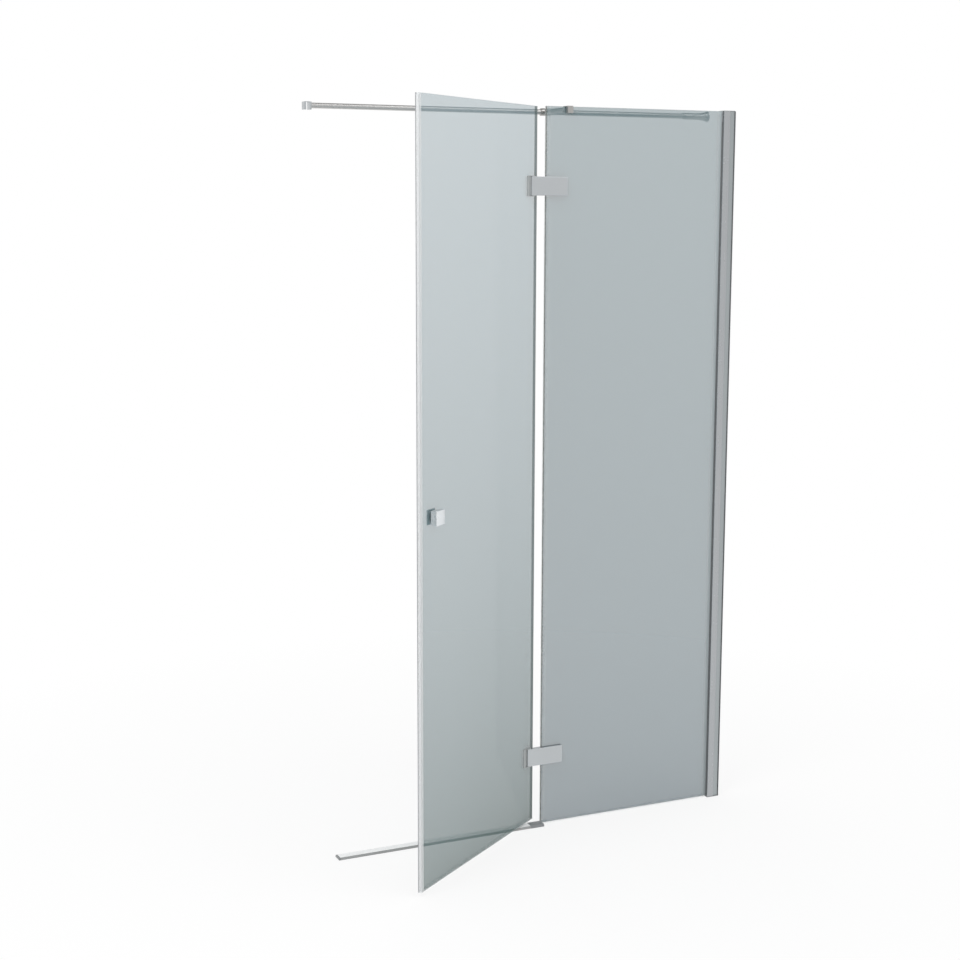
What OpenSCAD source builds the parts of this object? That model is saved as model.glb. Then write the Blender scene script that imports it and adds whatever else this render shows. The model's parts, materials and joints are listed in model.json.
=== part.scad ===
// Shower front: a fixed glass panel, a stabiliser bar and one glass leaf on two hinges.
// The wall face is X = 0, the middle of the shut glass is Y = 0 and the tray is Z = 0.
// The room side is -Y and the shower side is +Y.

/* [Front] */
// Height from the tray to the top of the glass
front_h = 1950; // [1800:10:2200]
// Distance from the wall to the free edge of the fixed glass
fixed_w = 573; // [450:1:900]
// Width of the leaf's glass
leaf_w = 587; // [450:1:900]
// Thickness of both panes
glass_t = 8; // [6:1:10]
// Gap between the two glass edges with the door shut
glass_gap = 5; // [4.5:0.5:8]
// Height of the fixed glass above the tray
fixed_rise = 3; // [2:0.5:6]
// Height of the leaf's glass above the tray
leaf_rise = 11; // [11:0.5:20]
// Angle at which the door stands open
open_angle = 36; // [0:1:96]
// Chamfer along the long edges of the glass
arris = 0.8; // [0.4:0.1:1.5]

/* [Hinges] */
// Height of the middle of the lower hinge
lower_hinge_z = 200; // [120:5:400]
// Distance from the top of the glass to the middle of the upper hinge
upper_hinge_drop = 205; // [120:5:400]
// Height of the hinge blocks
hinge_h = 49; // [46:1:70]
// How far the hinge block reaches over the fixed glass
wing_overlap = 57.5; // [48:0.5:80]
// Thickness of the hinge block
wing_t = 13; // [12:0.5:16]
// How far the leaf's glass reaches past the pin towards the fixed glass
axis_set = 37; // [32:0.5:44]
// Radius of the hinge pin
pin_r = 3; // [2.5:0.25:3.5]
// Wall of the plastic bushes
bush_wall = 1.5; // [1:0.25:1.5]
// Thickness of the bush flanges
bush_flange_t = 1; // [0.6:0.1:1.5]
// Length of each bush with its flange
bush_l = 12; // [8:0.5:18]
// Thickness of the two ears that hold the pin
ear_t = 1.9; // [1.5:0.1:4]
// Distance from the pin to the far edge of the leaf's bracket
bracket_reach = 22.5; // [20:0.5:34]
// Thickness of the leaf's bracket
bracket_t = 4; // [3:0.5:5]
// Thickness of the gaskets and bonding pads between the hinges and the glass
gasket_t = 1; // [0.6:0.1:1.5]
// Distance from the fixed glass's edge to the block screws
block_screw_set = 29; // [20:0.5:36]
// Vertical distance between the two screws of a block
screw_spread = 28; // [24:1:30]
// Radius of the block screws
block_screw_r = 3; // [2.5:0.25:3]
// Wall of the clear liners around the screws in the glass
liner_t = 1; // [0.6:0.1:1.5]

/* [Wall profile] */
// Distance from the wall to the mouth of the glass profile
profile_reach = 37; // [34:0.5:48]
// Width of the glass profile
profile_w = 26; // [24:0.5:32]
// Wall of the glass profile
profile_t = 1.8; // [1.4:0.1:2.4]
// Wall of the channel on the wall
channel_t = 1.8; // [1.4:0.1:2.4]
// Play between the two telescoping profiles
slide_gap = 0.2; // [0.1:0.05:0.4]
// How far the two profiles overlap
telescope = 8; // [7:0.5:9]
// How deep the glass sits in its profile
glass_bite = 9; // [8:0.5:11]
// Width of each glazing gasket between glass and profile
glazing_w = 4; // [3:0.25:5]
// Thickness of the sealing strip against the wall
strip_t = 2; // [1:0.25:3]
// Radius of the holes for the wall screws
wall_hole_r = 2.75; // [2:0.25:3.5]
// Distance from each end of the wall profile to the outer wall screws
wall_hole_z = 75; // [50:5:120]
// Number of wall screws
wall_holes = 4; // [2:1:6]
// Radius of the adjusting screws
adjuster_r = 1.75; // [1.5:0.25:2]
// Distance from each end of the profile to the outer adjusting screws
adjuster_set = 150; // [100:5:300]
// Thickness of the profile's end caps
cap_t = 1.5; // [1:0.25:3]

/* [Seals] */
// Wall of the clear push-on seals
seal_t = 1; // [0.8:0.1:1.5]
// Length of the edge seal's legs over the fixed glass
seal_leg = 11; // [8:0.5:12]
// Length of the magnet seal's legs over the leaf
magnet_leg = 6; // [5:0.5:10]
// Thickness of the seal's back over the glass edge
seal_back_t = 1.5; // [1:0.25:2]
// Air left between the fin and the shut leaf
fin_air = 0.5; // [0.3:0.1:1]
// Depth of the magnet chamber past the free glass edge
magnet_reach = 5; // [5:0.5:10]
// Length of the wiping lip below the leaf
lip_drop = 2.2; // [1.5:0.1:2.3]

/* [Stabiliser bar] */
// Distance from the glass to the bar, middle to middle
bar_set = 134; // [80:1:200]
// Distance from the top of the glass down to the bar
bar_drop = 7.4; // [7:0.1:12]
// Radius of the bar
bar_r = 7; // [6:0.25:8]
// Wall of the bar
bar_wall = 1.5; // [1:0.25:2]
// Distance from the wall to the middle of the side panel's clamp
clamp_x = 1180; // [1100:1:1250]
// Distance from the free edge of the fixed glass to the middle of the tee
tee_set = 65; // [30:1:300]
// Radius of the trumpet at the wall
trumpet_r = 14.6; // [14.2:0.1:18]
// Length of the trumpet
trumpet_l = 81; // [60:1:100]
// Length of the flared part of the trumpet
flare_l = 40; // [30:1:55]
// Width and height of the end clamp
end_clamp = 20; // [18:0.5:26]

/* [Threshold] */
// Height of the threshold strip
threshold_h = 7; // [5:0.25:7]
// Width of the threshold strip across the tray edge
threshold_w = 30; // [26:1:40]
// How far the threshold reaches into the shower from the middle of the glass
threshold_in = 4; // [2:0.5:8]
// Length of the shoe at the hinge end
shoe_l = 40; // [30:1:60]

/* [Knob] */
// Side of the square knob
knob_w = 38; // [30:1:45]
// Thickness of the outer knob
outer_knob_t = 14; // [12:0.5:25]
// Thickness of the plate on the shower side
inner_knob_t = 3; // [2.5:0.5:6]
// Distance from the leaf's free glass edge to the knob's middle
knob_set = 62; // [50:0.1:90]
// Height of the knob's middle
knob_z = 948; // [850:1:1150]
// Length of the outer knob's neck
neck_l = 4.5; // [3:0.5:6]
// Radius of the stud through the glass
stud_r = 3; // [2.5:0.25:3]

/* [Hidden] */
$fn = 48;

// Clearances
running = 0.05;
press = 0.02;
fit = 0.1;
cut = 1;

// Glass and hinge places in the closed door
half_glass = glass_t / 2;
fixed_edge_x = -fixed_w;
barrel_r = wing_t / 2;
wing_back_y = -half_glass - gasket_t;
wing_front_y = wing_back_y - wing_t;
axis_x = fixed_edge_x - glass_gap - axis_set;
axis_y = wing_back_y - barrel_r;
hinge_zs = [lower_hinge_z, front_h - upper_hinge_drop];
hinge_half = hinge_h / 2;
screw_dz = screw_spread / 2;
wing_end_x = fixed_edge_x + wing_overlap;
block_screw_x = fixed_edge_x + block_screw_set;
plate_edge = 1;
wing_gasket_x = fixed_edge_x + plate_edge;
bracket_air = 0.2;
bracket_edge_r = 0.6;
ear_gap = 0.1;
ear_r = barrel_r - 0.5;
pin_sink = 0.2;
screw_sink = 0.2;
rim_t = 0.4;
block_skin = 3;
tip_air = 1;
flange_w = 1.1;

// Leaf frame: the pin is the origin, +X is towards the wall and +Y into the shower
leaf_out = barrel_r + gasket_t;
leaf_in = leaf_out + glass_t;
leaf_hinge_x = axis_set;
leaf_free_x = axis_set - leaf_w;
bracket_near = barrel_r * sqrt(2) + bracket_air;
bracket_front_y = leaf_out - gasket_t - bracket_t;
bracket_half = hinge_half + ear_gap + ear_t;
knob_x = leaf_free_x + knob_set;

// Wall profile places, from the glass towards the wall
mouth_x = -profile_reach;
fixed_end_x = mouth_x + glass_bite;
glass_end_play = 0.5;
web_x = fixed_end_x + glass_end_play;
channel_tip_x = web_x + profile_t + glass_end_play;
telescope_x = channel_tip_x + telescope;
adjuster_x = (channel_tip_x + telescope_x) / 2;
profile_half = profile_w / 2;
chamber_half = profile_half - profile_t;
channel_half = chamber_half - slide_gap;
mouth_half = half_glass + glazing_w;
channel_web_t = 2;
profile_foot_z = cap_t;
wall_hole_step = (front_h - 2 * wall_hole_z) / (wall_holes - 1);
adjuster_zs = [adjuster_set, front_h / 2, front_h - adjuster_set];

// Seals
seal_slip = 0.05;
seal_out = half_glass + seal_slip + seal_t;
fixed_seal_x = fixed_edge_x - seal_slip - seal_back_t;
shut_leaf_x = axis_x + leaf_hinge_x;
hinge_break = hinge_half + 2;
drip_leg = 5;
drip_back_t = 1.2;
bottom_leg_z = 7;
magnet_half = seal_out;
magnet_wall = 1;
magnet_x = leaf_free_x - magnet_reach;

// Bar
bar_y = bar_set;
bar_z = front_h - bar_drop;
tee_x = fixed_w - tee_set;
bar_bore = bar_r - bar_wall;
wall_plate_t = 5;
wall_plate_r = 11.5;
spigot_r = bar_bore - fit;
spigot_l = 20;
end_spigot_l = 25;
bar_screw_r = 2.6;
plate_head_r = 4;
sleeve_t = 1.8;
end_clamp_r = end_clamp / 2;
end_grub_drop = 2;
clamp_near_x = -clamp_x + end_clamp_r;
side_slot = glass_t + 1;
head_w = 16;
head_front = 9;
head_back = 11;
head_rise = 1.8;
head_low = 9.5;
top_air = 0.3;
pad_edge = 0.5;
tee_sleeve_r = bar_r + 3;
tee_sleeve_l = 28;
grub_r = 2;

// Threshold
threshold_front = threshold_in - threshold_w;
threshold_t = 1.4;
seat_gap = 0.3;
shoe_x = fixed_edge_x - seat_gap;
shoe_skin = 0.8;
shoe_top_z = threshold_h + shoe_skin;
threshold_end_x = -clamp_x + half_glass + 2;
end_cap_l = 4;

// Knob
neck_half = knob_w / 2 - 1.2;
washer_r = 12;
washer_t = 1;
knob_edge_r = 1.6;
knob_half = knob_w / 2;
outer_neck_y = leaf_out - washer_t;
outer_block_y = outer_neck_y - neck_l;
outer_face_y = outer_block_y - outer_knob_t;
inner_plate_y = leaf_in + washer_t;
inner_face_y = inner_plate_y + inner_knob_t;
stud_out_y = outer_block_y - outer_knob_t * 0.6;
stud_in_y = inner_plate_y + inner_knob_t * 0.7;
grub_y = outer_block_y - 5;
grub_sink = 2;

// Colours
metal = [0.80, 0.82, 0.83];
satin = [0.70, 0.73, 0.75];
clear = [0.72, 0.80, 0.80, 0.45];
soft_clear = [0.86, 0.89, 0.90, 0.6];
dark = [0.25, 0.26, 0.27];

// ---- shared shapes ----

// Rectangle with round corners, lower left corner at the origin
module round_rect(w, h, r) {
    translate([r, 0]) square([w - 2 * r, h]);
    translate([0, r]) square([w, h - 2 * r]);
    for (x = [r, w - r], y = [r, h - r])
        translate([x, y]) circle(r);
}

// Box with softened edges, lowest corner at the origin
module soft_box(size, r) {
    intersection() {
        linear_extrude(size.z) round_rect(size.x, size.y, r);
        translate([0, size.y, 0]) rotate([90, 0, 0])
            linear_extrude(size.y) round_rect(size.x, size.z, r);
        rotate([90, 0, 90]) linear_extrude(size.x) round_rect(size.y, size.z, r);
    }
}

// Cylinder along +Y from the given point
module y_cyl(x, y, z, l, r) {
    translate([x, y, z]) rotate([-90, 0, 0]) cylinder(h = l, r = r);
}

// Cylinder along +X from the given point
module x_cyl(x, y, z, l, r) {
    translate([x, y, z]) rotate([0, 90, 0]) cylinder(h = l, r = r);
}

// Places the leaf frame at the pin, turned open
module on_leaf() {
    translate([axis_x, axis_y, 0]) rotate([0, 0, open_angle]) children();
}

// Pane of glass with an arris on its long edges
module pane(x0, x1, y0, z0, z1) {
    w = x1 - x0;
    translate([x0, y0, z0]) linear_extrude(z1 - z0) polygon([
        [arris, 0], [w - arris, 0], [w, arris], [w, glass_t - arris],
        [w - arris, glass_t], [arris, glass_t], [0, glass_t - arris], [0, arris]
    ]);
}

// Screw along -Y with a conical head, its flat face at y, and a hex socket
module countersunk(x, y, z, l, r) {
    head_r = 2 * r;
    translate([x, y, z]) rotate([90, 0, 0]) difference() {
        union() {
            cylinder(h = rim_t, r = head_r);
            translate([0, 0, rim_t]) cylinder(h = head_r - r, r1 = head_r, r2 = r);
            cylinder(h = l, r = r);
        }
        translate([0, 0, -cut]) cylinder(h = cut + r, r = r * 0.75, $fn = 6);
    }
}

// Shape of such a screw's hole from the face at y, wider by air all round
module countersink(x, y, z, l, r, air) {
    head_r = 2 * r;
    translate([x, y, z]) rotate([90, 0, 0]) union() {
        translate([0, 0, -cut]) cylinder(h = cut + rim_t, r = head_r + air);
        translate([0, 0, rim_t])
            cylinder(h = head_r - r, r1 = head_r + air, r2 = r + air);
        cylinder(h = l, r = r + air);
    }
}

// Runs a seal section between the tray end and the top, broken at each hinge
module between_hinges(z0) {
    starts = [z0, hinge_zs[0] + hinge_break, hinge_zs[1] + hinge_break];
    ends = [hinge_zs[0] - hinge_break, hinge_zs[1] - hinge_break, front_h];
    for (i = [0 : 2])
        translate([0, 0, starts[i]]) linear_extrude(ends[i] - starts[i]) children();
}

// U section over a glass edge at x = 0, open towards +X, glass centred on y = 0
module push_on_section(leg) {
    in_half = half_glass + seal_slip;
    translate([-seal_slip - seal_back_t, -in_half - seal_t])
        square([seal_back_t, 2 * (in_half + seal_t)]);
    for (s = [-1, 1])
        translate([-seal_slip - seal_back_t, s > 0 ? in_half : -in_half - seal_t])
            square([seal_back_t + seal_slip + leg, seal_t]);
}

// ---- wall profile ----

module wall_profile() {
    color(satin) difference() {
        translate([0, 0, profile_foot_z]) linear_extrude(front_h - profile_foot_z)
            channel_section();
        for (i = [0 : wall_holes - 1])
            x_cyl(-strip_t - channel_web_t - cut, 0, wall_hole_z + i * wall_hole_step,
                channel_web_t + 2 * cut, wall_hole_r);
        for (z = adjuster_zs)
            y_cyl(adjuster_x, channel_half - channel_t - cut, z, channel_t + 2 * cut, adjuster_r + press);
    }
}

// U channel with a stiffening rib on each side of its web
module channel_section() {
    depth = -strip_t - channel_tip_x;
    rib = 1.2;
    difference() {
        translate([channel_tip_x, -channel_half]) square([depth, 2 * channel_half]);
        translate([channel_tip_x - cut, -channel_half + channel_t])
            square([depth - channel_web_t + cut, 2 * (channel_half - channel_t)]);
    }
    for (s = [-1, 1])
        translate([-strip_t - channel_web_t, s * (channel_half - channel_t - rib)])
            circle(rib);
}

module wall_seal_strip() {
    color(dark) difference() {
        translate([-strip_t, -profile_half, 0]) cube([strip_t, profile_w, front_h]);
        for (i = [0 : wall_holes - 1])
            x_cyl(-strip_t - cut, 0, wall_hole_z + i * wall_hole_step, strip_t + 2 * cut, wall_hole_r);
    }
}

// Glass profile: the glass chamber with its lips, a web, and the telescoping chamber
module glass_profile_section() {
    edge_r = 1;
    difference() {
        translate([mouth_x, -profile_half])
            round_rect(telescope_x - mouth_x, profile_w, edge_r);
        translate([mouth_x + profile_t, -chamber_half])
            square([web_x - mouth_x - profile_t, 2 * chamber_half]);
        translate([mouth_x - cut, -mouth_half])
            square([profile_t + 2 * cut, 2 * mouth_half]);
        translate([web_x + profile_t, -chamber_half])
            square([telescope_x - web_x, 2 * chamber_half]);
    }
}

module glass_profile() {
    color(metal) difference() {
        translate([0, 0, profile_foot_z]) linear_extrude(front_h - profile_foot_z)
            glass_profile_section();
        for (z = adjuster_zs)
            y_cyl(adjuster_x, chamber_half - cut, z, profile_t + 2 * cut, adjuster_r + fit);
    }
}

adjuster_head_r = 2 * adjuster_r;
adjuster_head_t = 1.2 * adjuster_r;

// Pan-head screws that pinch the two profiles together
module adjusting_screws() {
    shank_y = channel_half - channel_t - 3;
    color(metal) for (z = adjuster_zs) difference() {
        union() {
            y_cyl(adjuster_x, shank_y, z, profile_half - shank_y, adjuster_r);
            y_cyl(adjuster_x, profile_half, z, adjuster_head_t, adjuster_head_r);
        }
        y_cyl(adjuster_x, profile_half + adjuster_head_t / 2, z, adjuster_head_t, adjuster_r * 0.6, $fn = 6);
    }
}

// Round covers clipped over the adjusting screws
module adjusting_screw_caps() {
    skirt = 1;
    color(satin) for (z = adjuster_zs)
        translate([adjuster_x, profile_half, z]) rotate([-90, 0, 0]) rotate_extrude() polygon([
            [adjuster_head_r + fit, 0], [adjuster_head_r + fit, adjuster_head_t + fit],
            [0, adjuster_head_t + fit], [0, adjuster_head_t + fit + skirt],
            [adjuster_head_r + fit, adjuster_head_t + fit + skirt],
            [adjuster_head_r + fit + skirt, adjuster_head_t + fit], [adjuster_head_r + fit + skirt, 0]
        ]);
}

cap_lap = 0.5;
cap_plug_l = 12;
cap_plug_wall = 1.6;

// End cap plate with a hollow plug in the telescoping chamber, drawn for the foot
module profile_cap() {
    plug_x0 = channel_tip_x + fit;
    plug_l = -strip_t - channel_web_t - fit - plug_x0;
    plug_half = channel_half - channel_t - fit;
    rib_clear = 3;
    translate([mouth_x - cap_lap, -profile_half - cap_lap, 0]) linear_extrude(cap_t)
        round_rect(-strip_t - mouth_x + cap_lap, profile_w + 2 * cap_lap, 1.5);
    translate([plug_x0, -plug_half, 0]) difference() {
        cube([plug_l - rib_clear, 2 * plug_half, cap_t + cap_plug_l]);
        translate([cap_plug_wall, cap_plug_wall, cap_t]) cube([
            plug_l - rib_clear - 2 * cap_plug_wall, 2 * (plug_half - cap_plug_wall), cap_plug_l + cut
        ]);
    }
}

module profile_bottom_cap() {
    color(satin) profile_cap();
}

tongue_l = 28;

// Top cap: the same plate upside down, with a tongue over the end of the outer gasket
module profile_top_cap() {
    color(satin) union() {
        translate([0, 0, front_h + cap_t]) mirror([0, 0, 1]) profile_cap();
        translate([mouth_x - glazing_lip_t, -mouth_half, front_h - tongue_l])
            cube([glazing_lip_t - fit, glazing_w - fit, tongue_l]);
    }
}

glazing_lip_t = 1.5;
glazing_lip_w = 0.8;

// Wedge gasket for one side of the glass: a lip outside, a stem and a barb behind the profile's lip
module glazing_section() {
    stem_end = glass_bite - 1;
    barb = 0.7;
    in_y = half_glass;
    polygon([
        [mouth_x - glazing_lip_t, in_y], [mouth_x - glazing_lip_t, mouth_half - 1],
        [mouth_x - 0.5, mouth_half + glazing_lip_w], [mouth_x, mouth_half + glazing_lip_w],
        [mouth_x, mouth_half], [mouth_x + profile_t, mouth_half],
        [mouth_x + profile_t, mouth_half + barb], [mouth_x + stem_end, mouth_half - 1.5],
        [mouth_x + stem_end, in_y]
    ]);
}

module outer_glazing_gasket() {
    color(dark) translate([0, 0, profile_foot_z]) mirror([0, 1, 0])
        linear_extrude(front_h - tongue_l - fit - profile_foot_z) glazing_section();
}

module inner_glazing_gasket() {
    color(dark) translate([0, 0, profile_foot_z])
        linear_extrude(front_h - profile_foot_z) glazing_section();
}

// ---- fixed glass and its seals ----

// Hole for a block screw through the fixed glass, wider than the screw by air
module block_screw_hole(z, air) {
    countersink(block_screw_x, half_glass - screw_sink, z, 2 * glass_t, block_screw_r, air);
}

module fixed_glass() {
    color(clear) difference() {
        pane(fixed_edge_x, fixed_end_x, -half_glass, fixed_rise, front_h);
        for (z = hinge_zs, s = [-1, 1])
            block_screw_hole(z + s * screw_dz, liner_t + running);
    }
}

// Push-on seal with a fin that closes the gap to the shut leaf
module fixed_edge_seal() {
    fin_l = fixed_seal_x - shut_leaf_x - fin_air;
    fin_y = 0.5 - half_glass;
    color(soft_clear) between_hinges(shoe_top_z + seat_gap) {
        translate([fixed_edge_x, 0]) push_on_section(seal_leg);
        translate([fixed_seal_x - fin_l, fin_y]) polygon([
            [0, 0.4], [0.6, 0], [fin_l, -0.2], [fin_l, seal_t + 0.6], [0.6, seal_t]
        ]);
    }
}

// Clear shoe under the fixed glass, with legs on both faces
module fixed_bottom_seal() {
    x0 = fixed_edge_x + 1.5;
    l = mouth_x - glazing_lip_t - fit - x0;
    color(soft_clear) translate([x0, 0, 0]) rotate([90, 0, 90]) linear_extrude(l)
        difference() {
            polygon([
                [-seal_out - 1, 0], [seal_out + 1, 0], [seal_out, bottom_leg_z], [-seal_out, bottom_leg_z]
            ]);
            translate([-half_glass - seal_slip, fixed_rise])
                square([glass_t + 2 * seal_slip, bottom_leg_z]);
        }
}

// ---- hinges, fixed side ----

// Plan of the hinge block: square at the front, round about the pin at its back left corner
module block_plan() {
    translate([axis_x, axis_y]) circle(barrel_r);
    translate([axis_x, wing_front_y]) square([wing_end_x - axis_x, wing_t]);
    translate([axis_x - barrel_r, wing_front_y]) square(barrel_r);
}

// Block on the room side of both panes: screwed to the fixed glass, bored for the pin
module hinge_block(zc) {
    soft = 1.2;
    bore_r = pin_r + bush_wall + press;
    color(metal) difference() {
        intersection() {
            translate([0, 0, zc - hinge_half]) linear_extrude(hinge_h) block_plan();
            translate([axis_x - barrel_r, wing_front_y, zc - hinge_half])
                soft_box([wing_end_x - axis_x + barrel_r, wing_t, hinge_h], soft);
        }
        translate([axis_x, axis_y, zc - hinge_half - cut]) cylinder(h = hinge_h + 2 * cut, r = bore_r);
        for (side = [0, 1])
            translate([axis_x, axis_y, zc]) mirror([0, 0, side])
                translate([0, 0, hinge_half - bush_flange_t])
                    cylinder(h = bush_flange_t + cut, r = flange_r + fit);
        for (s = [-1, 1])
            y_cyl(block_screw_x, wing_front_y + block_skin, zc + s * screw_dz, wing_t,
                block_screw_r + press);
    }
}

module upper_hinge_block() {
    hinge_block(hinge_zs[1]);
}

module lower_hinge_block() {
    hinge_block(hinge_zs[0]);
}

flange_r = pin_r + bush_wall + flange_w;

// Flanged bushes let into both ends of every block
module hinge_bushes() {
    out_r = pin_r + bush_wall;
    in_r = pin_r + running;
    color("whitesmoke") for (z = hinge_zs, side = [0, 1])
        translate([axis_x, axis_y, z]) mirror([0, 0, side])
            translate([0, 0, hinge_half - bush_l]) rotate_extrude() polygon([
                [in_r, 0], [out_r, 0], [out_r, bush_l - bush_flange_t],
                [flange_r, bush_l - bush_flange_t], [flange_r, bush_l], [in_r, bush_l]
            ]);
}

// A sheet between each block and the glass, and a liner in each of the glass's holes
module block_gaskets() {
    liner_l = glass_t - screw_sink - fit;
    half_h = hinge_half - plate_edge;
    color(soft_clear) for (z = hinge_zs) {
        difference() {
            translate([wing_gasket_x, wing_back_y, z - half_h])
                cube([wing_end_x - plate_edge - wing_gasket_x, gasket_t, 2 * half_h]);
            for (s = [-1, 1])
                y_cyl(block_screw_x, wing_back_y - cut, z + s * screw_dz, gasket_t + 2 * cut,
                    block_screw_r + fit);
        }
        for (s = [-1, 1]) difference() {
            intersection() {
                block_screw_hole(z + s * screw_dz, liner_t);
                y_cyl(block_screw_x, fit - half_glass, z + s * screw_dz, liner_l, 4 * block_screw_r);
            }
            block_screw_hole(z + s * screw_dz, fit);
        }
    }
}

// Flush screws from the shower side through the fixed glass into the blocks
module block_screws() {
    face_y = half_glass - screw_sink;
    color(metal) for (z = hinge_zs, s = [-1, 1])
        countersunk(block_screw_x, face_y, z + s * screw_dz,
            face_y - wing_front_y - block_skin - tip_air, block_screw_r);
}

// ---- stabiliser bar ----

module stabiliser_bar() {
    l = -wall_plate_t - clamp_near_x;
    color(metal) difference() {
        x_cyl(clamp_near_x, bar_y, bar_z, l, bar_r);
        x_cyl(clamp_near_x - cut, bar_y, bar_z, l + 2 * cut, bar_bore);
    }
}

// Base on the wall: a disc and a hollow spigot, with the screw's head inside the spigot
module bar_wall_plate() {
    color(satin) translate([0, bar_y, bar_z]) rotate([0, -90, 0]) rotate_extrude() polygon([
        [bar_screw_r, 0], [wall_plate_r, 0], [wall_plate_r, wall_plate_t], [spigot_r, wall_plate_t],
        [spigot_r, wall_plate_t + spigot_l], [plate_head_r, wall_plate_t + spigot_l],
        [plate_head_r, wall_plate_t], [bar_screw_r, wall_plate_t]
    ]);
}

sleeve_r = bar_r + sleeve_t;
flare_power = 2.5;

function trumpet_radius(t) =
    sleeve_r + (trumpet_r - sleeve_r) * pow(max(0, 1 - t / flare_l), flare_power);

// Flared sleeve that slides along the bar and covers the base
module bar_trumpet() {
    steps = 14;
    bore = bar_r + running;
    lip = wall_plate_r + fit;
    outer = [for (i = [0 : steps]) [trumpet_radius(flare_l * i / steps), flare_l * i / steps]];
    color(metal) translate([0, bar_y, bar_z]) rotate([0, -90, 0]) rotate_extrude()
        polygon(concat(outer, [
            [sleeve_r, trumpet_l - 0.6], [sleeve_r - 0.6, trumpet_l], [bore, trumpet_l],
            [bore, wall_plate_t + fit], [lip, wall_plate_t + fit], [lip, 0]
        ]));
}

// Sleeve on the bar, arm, and a head that hooks over the top edge of the fixed glass
module bar_tee() {
    head_y0 = -half_glass - gasket_t - head_front;
    head_y1 = half_glass + gasket_t + head_back;
    head_top = front_h + head_rise;
    color(metal) difference() {
        union() {
            translate([-tee_x - head_w / 2, head_y0, bar_z - head_low])
                soft_box([head_w, head_y1 - head_y0, head_top - bar_z + head_low], 1.5);
            y_cyl(-tee_x, head_y1 - 3, bar_z, bar_y - head_y1 + 3, bar_r);
            x_cyl(-tee_x - tee_sleeve_l / 2, bar_y, bar_z, tee_sleeve_l, tee_sleeve_r);
        }
        x_cyl(-tee_x - tee_sleeve_l, bar_y, bar_z, 2 * tee_sleeve_l, bar_r + running);
        translate([-tee_x - head_w, -half_glass - gasket_t, bar_z - head_low - cut])
            cube([2 * head_w, glass_t + 2 * gasket_t, front_h + top_air - bar_z + head_low + cut]);
        translate([-tee_x, bar_y, bar_z - 2 * tee_sleeve_r])
            cylinder(h = 2 * tee_sleeve_r, r = grub_r + press);
    }
}

// Soft pads between the head and both faces of the glass
module tee_lining() {
    low = bar_z - head_low + pad_edge;
    color(dark) for (y = [-half_glass - gasket_t, half_glass])
        translate([-tee_x - head_w / 2 + pad_edge, y, low])
            cube([head_w - 2 * pad_edge, gasket_t, front_h - low]);
}

// Headless screw with a hex socket, from the origin along +Z
module grub_screw(l) {
    difference() {
        cylinder(h = l, r = grub_r);
        translate([0, 0, -cut]) cylinder(h = cut + l / 2, r = grub_r * 0.55, $fn = 6);
    }
}

module tee_grub_screw() {
    color(dark) translate([-tee_x, bar_y, bar_z - tee_sleeve_r])
        grub_screw(tee_sleeve_r - bar_r);
}

// Clamp on the far end: it hooks over the top of a side pane and plugs into the bar
module bar_end_clamp() {
    color(metal) difference() {
        union() {
            translate([-clamp_x - end_clamp_r, bar_y - end_clamp_r, front_h - end_clamp + head_rise])
                soft_box([end_clamp, end_clamp, end_clamp], 1.5);
            x_cyl(clamp_near_x - 1, bar_y, bar_z, end_spigot_l, spigot_r);
        }
        translate([-clamp_x - side_slot / 2, bar_y - end_clamp, front_h - end_clamp - cut])
            cube([side_slot, 2 * end_clamp, end_clamp + cut + top_air]);
        x_cyl(-clamp_x - end_clamp, bar_y, bar_z - end_grub_drop, end_clamp, grub_r + press);
    }
}

module end_clamp_grub_screw() {
    l = end_clamp_r - side_slot / 2;
    color(dark) translate([-clamp_x - end_clamp_r, bar_y, bar_z - end_grub_drop]) rotate([0, 90, 0])
        grub_screw(l);
}

// ---- threshold ----

// Low ramp section, drawn across the tray edge: x is depth and y is height
module threshold_outline(grow) {
    polygon([
        [threshold_front - grow, 0], [threshold_front + 1.5 - grow, threshold_h * 0.72],
        [threshold_front + 4 - grow, threshold_h * 0.92 + grow],
        [threshold_in - 8, threshold_h + grow], [threshold_in - 3 + grow, threshold_h * 0.9 + grow],
        [threshold_in + grow, 0]
    ]);
}

module threshold_strip() {
    x0 = threshold_end_x + end_cap_l;
    l = shoe_x - shoe_l / 2 - x0;
    color(satin) translate([x0, 0, 0]) rotate([90, 0, 90]) linear_extrude(l) difference() {
        threshold_outline(0);
        polygon([
            [threshold_front + 3, -cut], [threshold_front + 3, threshold_h * 0.7],
            [threshold_front + 5, threshold_h * 0.92 - threshold_t],
            [threshold_in - 8, threshold_h - threshold_t],
            [threshold_in - 4.5, threshold_h * 0.9 - threshold_t], [threshold_in - 2.5, -cut]
        ]);
    }
}

// Moulded shoe that slips over the strip's end beside the fixed glass
module threshold_shoe() {
    color(dark) translate([shoe_x - shoe_l, 0, 0]) rotate([90, 0, 90]) difference() {
        linear_extrude(shoe_l) threshold_outline(shoe_skin);
        translate([0, 0, -cut]) linear_extrude(shoe_l / 2 + cut) threshold_outline(fit);
    }
}

module threshold_end_cap() {
    color(dark) translate([threshold_end_x, 0, 0]) rotate([90, 0, 90])
        linear_extrude(end_cap_l) threshold_outline(0);
}

// ---- leaf glass and its seals ----

module leaf_glass() {
    color(clear) on_leaf() difference() {
        pane(leaf_free_x, leaf_hinge_x, leaf_out, leaf_rise, front_h);
        y_cyl(knob_x, leaf_out - cut, knob_z, glass_t + 2 * cut, stud_r + 1);
    }
}

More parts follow.
